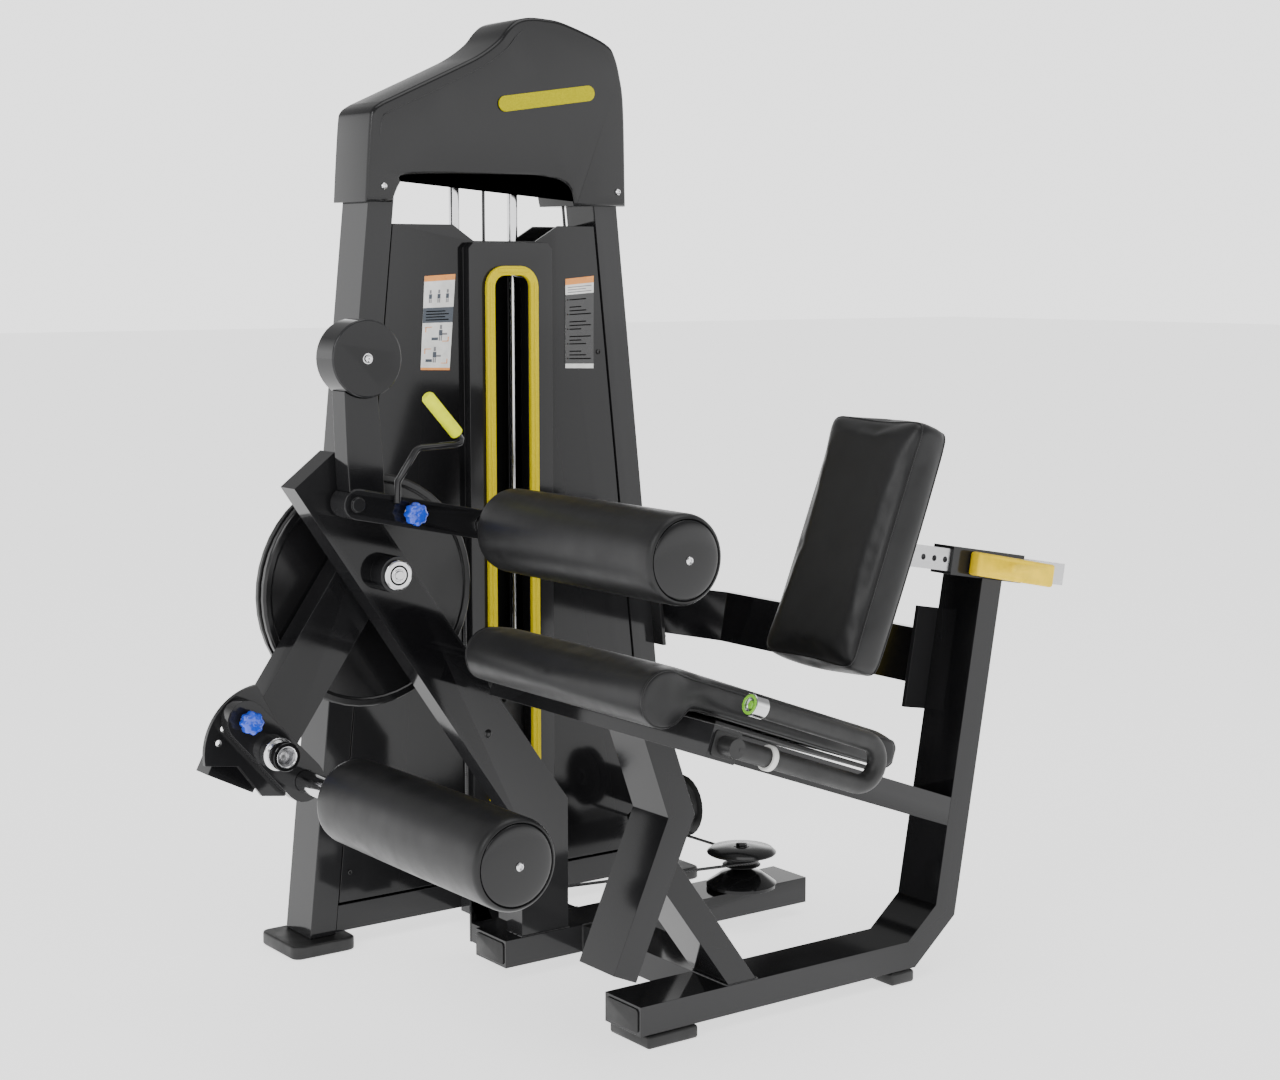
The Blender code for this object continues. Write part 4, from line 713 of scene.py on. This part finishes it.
# ---- handles ----
def make_handles():
    for word, side in (("near", -1), ("far", 1)):
        y = side * 0.318
        up, down = 0.028, -0.041
        mid, radius = (up + down) / 2, (up - down) / 2
        bend = 0.352
        line = [seat_at(0.128 + (bend - 0.128) * i / 14, up, y) for i in range(14)]
        for i in range(25):
            a = math.radians(90 - 180 * i / 24)
            line.append(seat_at(bend + radius * math.cos(a), mid + radius * math.sin(a), y))
        line += [seat_at(bend - (bend - 0.094) * i / 14, down, y) for i in range(1, 15)]
        loop = tube("loop", line, 0.0155, M["rubber"], 40)
        stub_ends = [seat_at(0.0895, down, side * 0.3006), seat_at(0.0895, down, side * 0.3330)]
        stub = tube("stub", stub_ends, 0.0152, M["rubber"], 32)
        handle = merged(word + "_handle_grip", [loop, stub])
        settle(handle, "frame", "black_rubber", word + "_handle")
        collar = [(0.0159, 0), (0.0193, 0), (0.0200, 0.0007)]
        collar += [(0.0200, 0.0093), (0.0193, 0.010), (0.0159, 0.010)]
        ring = turned(word + "_handle_collar", collar, seat_at(0.160, down, y), SEAT_DIR, M["white"], 48)
        settle(ring, "frame")
        face = seat_at(0.101, up, y)
        cup = [(0, 0.0048), (0.0072, 0.0048), (0.0078, 0.0040)]
        cup += [(0.0106, 0.0040), (0.0108, 0.0006), (0.0112, 0.0)]
        cup += [(0.0168, 0.0), (0.0175, 0.0008), (0.0175, 0.0252), (0.0168, 0.026), (0, 0.026)]
        end = turned(word + "_handle_cup", cup, face, SEAT_DIR, M["chrome"], 56)
        settle(end, "frame", "bright_steel", word + "_handle_end")
        glow = [(0.0114, -0.0010), (0.0150, -0.0010), (0.0156, -0.0004), (0.0156, 0.0004), (0.0110, 0.0004)]
        settle(turned(word + "_handle_ring", glow, face, SEAT_DIR, M["green"], 48), "frame")
        stud = [(0, 0.0012), (0.0050, 0.0014), (0.0062, 0.0022), (0.0064, 0.0046), (0, 0.0046)]
        settle(turned(word + "_handle_stud", stud, face, SEAT_DIR, M["green"], 32), "frame")


# ---- knobs ----
def make_knob(node, name, body):
    """Lobed plastic knob on its sprung pin."""
    low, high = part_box(node)
    x, z = (low.x + high.x) / 2, (low.z + high.z) / 2
    start = Vector((x, low.y, z))
    grip = [(0, 0.0003), (0.011, 0.0006), (0.0160, 0.0022), (0.0188, 0.0050), (0.0198, 0.0085)]
    grip += [(0.0198, 0.0185), (0.0188, 0.0215), (0.0165, 0.0245)]
    grip += [(0.0120, 0.0265), (0.0080, 0.0272), (0, 0.0272)]
    head = turned("head", grip, start, (0, 1, 0), M["blue"], 96, 8, 0.0026)
    neck = [(0, 0.027), (0.0072, 0.0268), (0.0076, 0.0275), (0.0076, 0.0300), (0.0044, 0.0305)]
    neck += [(0.0044, high.y - low.y), (0, high.y - low.y)]
    stem = turned("stem", neck, start, (0, 1, 0), M["chrome"], 32)
    button_profile = [(0, -0.0001), (0.0040, 0.0), (0.0050, 0.0006), (0, 0.0010)]
    button = turned("button", button_profile, start, (0, 1, 0), M["blue"], 24)
    knob = merged(name, [head, stem, button])
    settle(knob, body, "blue_knob", node)
    collar = [(0.0050, 0.0), (0.0110, 0.0), (0.0118, 0.0006), (0.0118, 0.0016), (0.0050, 0.0016)]
    ring = turned(name + "_collar", collar, Vector((x, low.y + 0.0303, z)), (0, 1, 0), M["brushed"], 32)
    settle(ring, body, "bright_steel")


def make_knobs():
    make_knob("shin_pull_pin", "shin_knob", "shin_pin")
    make_knob("thigh_pull_pin", "thigh_knob", "thigh_pin")


# ---- covers, head and labels ----
def curve_through(points, steps=6):
    """Smooth line through the points, ends included."""
    points = [Vector(p) for p in points]
    ends = [points[0] * 2 - points[1]] + points + [points[-1] * 2 - points[-2]]
    out = []
    for a, b, c, d in zip(ends, ends[1:], ends[2:], ends[3:]):
        for k in range(steps):
            t = k / steps
            out.append(0.5 * ((2 * b) + (c - a) * t + (2 * a - 5 * b + 4 * c - d) * t * t
                              + (3 * b - a - 3 * c + d) * t ** 3))
    return out + [points[-1]]


def inward(outline, distance):
    """The outline moved inwards square to itself; it runs clockwise."""
    out = []
    count = len(outline)
    for i, here in enumerate(outline):
        one = (here - outline[i - 1]).normalized()
        two = (outline[(i + 1) % count] - here).normalized()
        side = (one + two).normalized()
        reach = distance / max(side.dot(one), 0.5)
        out.append(here + Vector((side.y, -side.x)) * reach)
    return out


# The hood's outline in X and Z.  Its points come from a measuring script, not from named sizes.
HOOD_LEFT = [(-0.3045, 1.384), (-0.3000, 1.450), (-0.2935, 1.528), (-0.2885, 1.549), (-0.2720, 1.562)]
HOOD_TOP = [(-0.2420, 1.576), (-0.104, 1.638), (-0.057, 1.661), (-0.018, 1.688), (0.004, 1.712)]
HOOD_TOP += [(0.024, 1.727), (0.053, 1.7345), (0.090, 1.7345), (0.129, 1.730), (0.199, 1.709)]
HOOD_TOP += [(0.236, 1.693), (0.250, 1.677), (0.263, 1.639), (0.273, 1.572), (0.277, 1.384)]
HOOD_ARCH = [(0.155, 1.384), (0.146, 1.414), (0.124, 1.430), (0.092, 1.436), (0.035, 1.439)]
HOOD_ARCH += [(-0.206, 1.434), (-0.232, 1.418), (-0.249, 1.384)]


def make_hood():
    """Moulded hood: rounded front edge, hollow behind, a crease along its sloping side."""
    outline = curve_through(HOOD_LEFT + HOOD_TOP) + curve_through(HOOD_ARCH)
    front, rear = 0.716, 0.841
    edge, wall = 0.0075, 0.0045
    rings = [(edge, front + 0.0002), (edge * 0.62, front + edge * 0.08), (edge * 0.29, front + edge * 0.29)]
    rings += [(edge * 0.08, front + edge * 0.62), (0.0, front + edge), (0.0, rear), (wall, rear)]
    rings += [(wall, front + edge), (wall + edge * 0.5, front + wall)]
    bm = bmesh.new()
    loops = []
    for inset, y in rings:
        loops.append([bm.verts.new(at(p.x, y, p.y)) for p in inward(outline, inset)])
    for one, two in zip(loops, loops[1:]):
        for k in range(len(one)):
            n = (k + 1) % len(one)
            bm.faces.new((one[k], one[n], two[n], two[k]))
    bm.faces.new(loops[0][::-1])
    bm.faces.new(loops[-1])
    settle(make("head_hood", bm, M["moulded"], sharp=50.0), "frame", "cover_panel", "head_cover")
    crease = [(-0.2745, 1.505), (-0.2690, 1.533), (-0.2520, 1.5475), (-0.160, 1.588), (-0.100, 1.616)]
    crease += [(-0.048, 1.641), (-0.002, 1.672), (0.020, 1.696), (0.036, 1.709)]
    line = [at(p.x, front + 0.0006, p.y) for p in curve_through(crease, 8)]
    settle(tube("hood_crease", line, 0.0016, M["moulded"], 12), "frame", "cover_panel")


def make_label(name, corners, rows):
    """Generic card: rows are (u0, u1, v0, v1, look), measured from the lower left as shares of the card."""
    low_left, low_right, high_right, high_left = [Vector(c) for c in corners]

    def spot(u, v, lift):
        low = low_left.lerp(low_right, u)
        high = high_left.lerp(high_right, u)
        return low.lerp(high, v) + Vector((0, -lift, 0))
    parts = []
    layers = [(0, 1, 0, 1, "paper")] + rows
    for i, (u0, u1, v0, v1, look) in enumerate(layers):
        lift = 0.0 if i == 0 else 0.00045
        quad = [spot(u0, v0, lift), spot(u1, v0, lift), spot(u1, v1, lift), spot(u0, v1, lift)]
        parts.append(slab("part", quad, 0.0005 if i == 0 else 0.0002, M[look]))
    settle(merged(name, parts), "frame")


def figure_rows(u, v, size):
    """A small standing figure made of plain blocks."""
    w = size
    return [
        (u - 0.05 * w, u + 0.05 * w, v + 0.16 * w, v + 0.22 * w, "card_grey"),
        (u - 0.08 * w, u + 0.08 * w, v + 0.07 * w, v + 0.15 * w, "card_dark"),
        (u - 0.07 * w, u - 0.015 * w, v, v + 0.065 * w, "card_grey"),
        (u + 0.015 * w, u + 0.07 * w, v, v + 0.065 * w, "card_grey"),
    ]


def make_labels():
    y = 0.7299
    rows = [(0.0, 1.0, 0.94, 1.0, "card_orange"), (0.0, 1.0, 0.0, 0.025, "card_orange")]
    rows += [(0.0, 1.0, 0.50, 0.66, "card_dark")]
    for k in range(3):
        rows += figure_rows(0.22 + 0.28 * k, 0.71, 0.62)
    for k in range(4):
        rows.append((0.10, 0.86 - 0.12 * (k % 2), 0.525 + 0.030 * k, 0.536 + 0.030 * k, "card_grey"))
    for v, u in ((0.30, 0.62), (0.07, 0.45)):
        rows += [(0.10, 0.32, v + 0.15, v + 0.158, "card_orange")]
        rows += [(0.10, 0.13, v + 0.10, v + 0.158, "card_orange")]
        rows += [(0.68, 0.90, v, v + 0.008, "card_orange"), (0.87, 0.90, v, v + 0.05, "card_orange")]
        rows += figure_rows(u, v + 0.01, 0.75)
        rows += [(u - 0.30, u - 0.08, v + 0.015, v + 0.045, "card_dark")]
        rows += [(u + 0.06, u + 0.22, v + 0.07, v + 0.09, "card_grey")]
    left = [at(-0.188, y, 1.075), at(-0.125, y, 1.073), at(-0.110, y, 1.253), at(-0.177, y, 1.249)]
    make_label("exercise_card", left, rows)
    rows = [(0.0, 1.0, 0.93, 1.0, "card_orange"), (0.0, 1.0, 0.05, 0.82, "card_black")]
    for k in range(3):
        rows.append((0.08, 0.92 - 0.2 * (k % 2), 0.84 + 0.028 * k, 0.85 + 0.028 * k, "card_grey"))
    for k in range(17):
        if k % 4 != 3:
            rows.append((0.14, 0.90 - 0.17 * (k % 3), 0.10 + 0.041 * k, 0.112 + 0.041 * k, "card_grey"))
        if k % 4 == 0:
            rows.append((0.06, 0.10, 0.10 + 0.041 * k, 0.115 + 0.041 * k, "card_orange"))
    right = [at(0.139, y, 1.070), at(0.206, y, 1.068), at(0.207, y, 1.249), at(0.140, y, 1.243)]
    make_label("rules_card", right, rows)


def make_cover_details():
    for k, (x, z) in enumerate(((-0.268, 1.412), (0.256, 1.412))):
        screw = cap_screw(f"head_screw_{k + 1}", at(x, 0.7158, z), (0, -1, 0), 0.0062, M["chrome"])
        settle(screw, "frame", "bright_steel")
    places = []
    for z in (0.14, 0.62, 1.10):
        half = TOWER_FOOT_HALF - math.tan(TOWER_LEAN) * z - 0.0532 - 0.020
        places += [(-0.017 - half, z), (-0.017 + half, z)]
    for k, (x, z) in enumerate(places):
        screw = cap_screw(f"cover_screw_{k + 1}", at(x, 0.7302, z), (0, -1, 0), 0.0050, M["moulded"])
        settle(screw, "frame", "black_rubber")
        screw = cap_screw(f"rear_screw_{k + 1}", at(x, 0.8233, z), (0, 1, 0), 0.0050, M["moulded"])
        settle(screw, "frame", "black_rubber")
    bars = []
    for x in (-0.0495, 0.0495):
        bars.append(tube("bar", [at(x, 0.6994, 0.262), at(x, 0.6994, 1.236)], 0.0022, M["yellow"], 12))
    settle(merged("window_ribs", bars), "frame", "yellow_trim")
    slot_plate = [at(-0.034, 0.6990, 1.2560), at(0.034, 0.6990, 1.2560)]
    slot_plate += [at(0.034, 0.6990, 1.2632), at(-0.034, 0.6990, 1.2632)]
    settle(slab("window_emboss", slot_plate, 0.0010, M["yellow"], 0.0004), "frame", "yellow_trim")


# ---- small hardware ----
def end_cap(name, centre, outward, across, wide, tall, body="frame"):
    """Plastic cap pushed into a tube's open end."""
    outward = Vector(outward).normalized()
    across = Vector(across).normalized()
    rise = outward.cross(across)
    centre = Vector(centre) + outward * 0.0003
    r = 0.006
    corners = []
    for sx, sz, turn0 in ((1, 1, 0), (-1, 1, 90), (-1, -1, 180), (1, -1, 270)):
        for i in range(5):
            turn = math.radians(turn0 + 90 * i / 4)
            u = sx * (wide / 2 - r) + r * math.cos(turn)
            v = sz * (tall / 2 - r) + r * math.sin(turn)
            corners.append(centre + across * u + rise * v)
    plate = slab(name, corners, 0.0022, M["rubber"], 0.0007)
    settle(plate, body, "black_rubber")


def weld_bead(name, corners, radius=0.0024, body="frame"):
    """Rippled weld along the line where two tubes meet."""
    points = []
    closed = list(corners) + [corners[0]]
    for a, b in zip(closed, closed[1:]):
        a, b = Vector(a), Vector(b)
        count = max(2, int((b - a).length / 0.0045))
        points += [a.lerp(b, k / count) for k in range(count)]
    bead = tube(name, points, radius, M["paint"], 8, True)
    for k, vert in enumerate(bead.data.vertices):
        ring = k // 8
        centre = points[ring]
        vert.co = centre + (vert.co - centre) * (1.0 + 0.16 * math.sin(ring * 2.1))
    settle(bead, body, "frame_paint")


def make_caps_and_welds():
    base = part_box("base_and_column")
    mid_z = 0.0235 + 0.025
    end_cap("base_front_cap", Vector((base[0].x, SHIFT.y, mid_z)), (-1, 0, 0), (0, 1, 0), 0.088, 0.040)
    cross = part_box("floor_crossbar")
    y = at(0, 0.426, 0).y
    end_cap("crossbar_front_cap", Vector((cross[0].x, y, mid_z)), (-1, 0, 0), (0, 1, 0), 0.088, 0.040)
    end_cap("crossbar_rear_cap", Vector((cross[1].x, y, mid_z)), (1, 0, 0), (0, 1, 0), 0.088, 0.040)
    for word, side in (("near", -1), ("far", 1)):
        centre = seat_at(0.0905, -0.04075, side * 0.300)
        end_cap(f"seat_bar_cap_{word}", centre, (0, side, 0), SEAT_DIR, 0.046, 0.040)
    low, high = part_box("backrest_slide")
    slope = LEAN_BACK
    tip = Vector((high.x, (low.y + high.y) / 2, low.z + 0.0205))
    end_cap("slide_bar_cap", tip - Vector((0.0018, 0, 0)), slope, (0, 1, 0), 0.032, 0.032, "backrest")
    top = 0.0737
    corners = ((-0.198, 0.380), (-0.098, 0.380), (-0.098, 0.430), (-0.198, 0.430))
    ring = [at(x, yy, top) for x, yy in corners]
    weld_bead("post_weld", ring)
    corners = ((-0.069, -0.047), (-0.0045, -0.047), (-0.0045, 0.047), (-0.069, 0.047))
    ring = [at(x, yy, top) for x, yy in corners]
    weld_bead("brace_weld", ring)
    for word, x0, x1, yy in (("near", -0.069, 0.031, 0.376), ("rear", -0.113, -0.013, 0.476)):
        ring = [at(x0, yy, 0.0735), at(x1, yy, 0.0735), at(x1, yy, 0.0240), at(x0, yy, 0.0240)]
        weld_bead(f"connector_weld_{word}", ring, 0.0020)


def make_bolts():
    flange_y = at(0, 0.0583, 0).y
    lean = LEAN_UP
    level = LEAN_BACK
    centre = at(0.4905, 0, 0.555)
    count = 0
    for b in (-0.076, 0.076):
        for a in (-0.038, 0.038):
            count += 1
            spot = centre + lean * b + level * a
            spot.y = flange_y
            bolt = hex_bolt(f"column_flange_bolt_{count}", spot, (0, 1, 0), 0.0085, 0.0060, M["paint"])
            settle(bolt, "frame", "frame_paint")
    for k, (dz, y) in enumerate(((-0.058, 0.712), (0.058, 0.712), (-0.058, 0.800), (0.058, 0.800))):
        z = 0.5775 + dz
        x = TOWER_MID_X + TOWER_FOOT_HALF - math.tan(TOWER_LEAN) * z + 0.008
        bolt = hex_bolt(f"tower_flange_bolt_{k + 1}", at(x, y, z), (1, 0, 0.107), 0.0085, 0.0060, M["paint"])
        settle(bolt, "frame", "frame_paint")
    low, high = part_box("main_axle")
    hub_spot = Vector((HUB.x, low.y + 0.0040, HUB.z))
    bolt = hex_bolt("hub_bolt", hub_spot, (0, -1, 0), 0.0078, 0.0036, M["chrome"])
    settle(bolt, "lever", "bright_steel")
    # A thin near-black ring of painted shade stands for the groove round the hub bolt.
    ring = [(0.0140, 0.0), (0.0146, -0.0008), (0.0166, -0.0008), (0.0172, 0.0)]
    groove_shade = turned("hub_groove_shade", ring, Vector((HUB.x, low.y + 0.0040, HUB.z)), (0, 1, 0), M["hole"], 56)
    settle(groove_shade, "lever", "bright_steel")
    nut = hex_bolt("axle_nut", Vector((HUB.x, high.y, HUB.z)), (0, 1, 0), 0.0125, 0.0065, M["brushed"])
    settle(nut, "lever", "bright_steel")
    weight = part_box("counterweight")
    spot = Vector(((weight[0].x + weight[1].x) / 2, weight[0].y + 0.0046, (weight[0].z + weight[1].z) / 2))
    bolt = hex_bolt("weight_bolt", spot, (0, -1, 0), 0.0066, 0.0044, M["chrome"])
    settle(bolt, "thigh_bar", "bright_steel")
    plug = [(0, -0.0014), (0.0062, -0.0012), (0.0078, -0.0002), (0.0080, 0.0004), (0, 0.0004)]
    spot = at(-0.2665, 0.380, 0.4537)
    settle(turned("post_plug", plug, spot, (0, 1, 0), M["moulded"], 32), "frame", "black_rubber")
    low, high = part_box("adjuster_pivot_pin")
    x, z = (low.x + high.x) / 2, (low.z + high.z) / 2
    ring = [(0.0170, 0.0), (0.0185, -0.0012), (0.0232, -0.0012)]
    ring += [(0.0243, 0.0), (0.0243, 0.010), (0.0170, 0.010)]
    adjuster_cup = turned("adjuster_cup", ring, Vector((x, low.y + 0.0014, z)), (0, 1, 0), M["moulded"], 56)
    settle(adjuster_cup, "shin_link")
    core = hex_bolt("adjuster_bolt", Vector((x, low.y + 0.0182, z)), (0, -1, 0), 0.0085, 0.0060, M["brushed"])
    settle(core, "shin_link", "bright_steel")


def make_pulley_hubs():
    """Bearing ring on both faces of the wheel pulleys, a dished web on the big ones, and bolts on the guide
    pulley and the floor pulley guard.
    """
    axes = {
        "head_pulley_one": ((0, 1, 0), "head_wheel_one"), "head_pulley_two": ((0, 1, 0), "head_wheel_two"),
        "tower_pulley": ((1, 0, 0), "tower_wheel"), "guide_pulley": ((1, 0, 0), "guide_wheel"),
        "cam_pulley": ((0, 1, 0), "cam_wheel"),
    }
    for node, (axis, body) in axes.items():
        axis = Vector(axis)
        low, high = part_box(node)
        centre = (low + high) / 2
        half = (high - low).dot(axis) / 2
        radius = (high - low).z / 2
        for word, sign in (("a", -1), ("b", 1)):
            face = centre + axis * sign * (half - 0.0002)
            ring = [(0.0086, 0.0), (0.0086, 0.0008), (0.0150, 0.0008), (0.0160, 0.0)]
            bearing = turned(f"{node}_bearing_{word}", ring, face, axis * sign, M["brushed"], 40)
            settle(bearing, body, "bright_steel")
            dish = [(0.0175, -0.0002), (0.0180, 0.0007), (radius - 0.014, 0.0007), (radius - 0.0135, -0.0002)]
            if radius > 0.045:
                web = turned(f"{node}_web_{word}", dish, face, axis * sign, M["moulded"], 48)
                settle(web, body, "black_rubber")
    low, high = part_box("guide_pulley")
    centre = (low + high) / 2
    bolt_end = centre + Vector((-0.0145, 0, 0))
    bolt = hex_bolt("guide_pulley_bolt", bolt_end, (-1, 0, 0), 0.0100, 0.0055, M["paint"])
    settle(bolt, "frame", "frame_paint")
    low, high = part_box("floor_pulley_guard")
    spot = Vector(((low.x + high.x) / 2, (low.y + high.y) / 2, high.z))
    bolt = hex_bolt("floor_pulley_bolt", spot, (0, 0, 1), 0.0110, 0.0060, M["moulded"])
    settle(bolt, "frame", "black_rubber")


def make_stack_details():
    """Hole column down the plates, drawn as discs of painted shade, and the ferrule on the cable."""
    low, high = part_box("lifted_plates")
    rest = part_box("resting_plates")
    face = low.y
    x = at(0, 0, 0).x
    pin_z = middle("selector_pin").z
    plates = int(round((high.z - rest[0].z) / 0.025))
    rest_parts, lift_parts = [], []
    for k in range(plates):
        z = rest[0].z - 0.0 + 0.0125 + 0.025 * k
        if abs(z - pin_z) < 0.004:
            continue
        # Each hole is a flat near-black disc of painted shade on the plate face, not a cut hole.
        ring = [(0, -0.0002), (0.0048, -0.0002), (0.0050, 0.0003), (0, 0.0003)]
        hole = turned("hole", ring, Vector((x, face - 0.0001, z)), (0, 1, 0), M["hole"], 24)
        (rest_parts if z < rest[1].z else lift_parts).append(hole)
    settle(merged("resting_plate_holes", rest_parts), "frame", "plate_iron")
    settle(merged("lifted_plate_holes", lift_parts), "stack", "plate_iron")
    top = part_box("stack_top_plate")
    ferrule = [(0.0034, 0.0), (0.0062, 0.0), (0.0066, 0.001)]
    ferrule += [(0.0066, 0.028), (0.0050, 0.034), (0.0034, 0.035)]
    spot = at(-0.017, 0.777, top[1].z + 0.0004 - SHIFT.z)
    settle(turned("cable_ferrule", ferrule, spot, (0, 0, 1), M["brushed"], 32), "stack", "bright_steel")


# ---- surroundings ----
def make_floor():
    bm = bmesh.new()
    reach = 40.0
    for x, y in ((-reach, -reach), (reach, -reach), (reach, reach), (-reach, reach)):
        bm.verts.new((x, y, -0.0005))
    bm.faces.new(bm.verts[:])
    look = Look("floor_white", (0.80, 0.80, 0.80), 0.7, specular=0.1)
    look.set("Emission Color", (1.0, 1.0, 1.0, 1.0))
    look.set("Emission Strength", 1.45)
    look.colour_from(look.noise(1.5), [(0.3, (0.795, 0.795, 0.795)), (0.7, (0.805, 0.805, 0.805))])
    make("floor", bm, look.mat)


def area_light(name, place, target, size, power):
    data = bpy.data.lights.new(name, "AREA")
    data.shape = "RECTANGLE"
    data.size, data.size_y = size
    data.energy = power
    obj = bpy.data.objects.new(name, data)
    bpy.context.scene.collection.objects.link(obj)
    obj.location = place
    obj.rotation_euler = (Vector(target) - Vector(place)).to_track_quat("-Z", "Y").to_euler()


def make_studio():
    """White surround up to just over the horizon, dim above it, and two soft boxes."""
    world = bpy.data.worlds.new("studio")
    bpy.context.scene.world = world
    world.use_nodes = True
    tree = world.node_tree
    background = tree.nodes["Background"]
    background.inputs["Strength"].default_value = 2.3
    coords = tree.nodes.new("ShaderNodeTexCoord")
    split = tree.nodes.new("ShaderNodeSeparateXYZ")
    ramp = tree.nodes.new("ShaderNodeValToRGB")
    ramp.color_ramp.elements[0].position = 0.14
    ramp.color_ramp.elements[0].color = (1.0, 1.0, 1.0, 1.0)
    ramp.color_ramp.elements[1].position = 0.40
    ramp.color_ramp.elements[1].color = (0.20, 0.20, 0.20, 1.0)
    tree.links.new(coords.outputs["Generated"], split.inputs["Vector"])
    tree.links.new(split.outputs["Z"], ramp.inputs["Fac"])
    tree.links.new(ramp.outputs["Color"], background.inputs["Color"])
    area_light("key", (-3.2, -1.6, 3.2), (0, 0, 0.8), (1.8, 1.8), 55)
    area_light("top", (0.6, -0.6, 4.2), (0, 0, 0.6), (2.6, 2.6), 45)


def make_camera():
    data = bpy.data.cameras.new("camera")
    data.lens = 61.28
    data.sensor_width = 36.0
    data.clip_end = 60.0
    cam = bpy.data.objects.new("camera", data)
    bpy.context.scene.collection.objects.link(cam)
    cam.location = at(-2.268, -2.800, 1.26)
    cam.rotation_euler = (math.radians(90 - 7.06), 0.0, math.radians(-36.25))
    bpy.context.scene.camera = cam


def main():
    make_camera()
    make_studio()
    make_floor()
    dress_frame()
    make_seat()
    make_backrest()
    make_rollers()
    make_handles()
    make_knobs()
    make_labels()
    make_hood()
    make_cover_details()
    make_caps_and_welds()
    make_bolts()
    make_pulley_hubs()
    make_stack_details()


main()
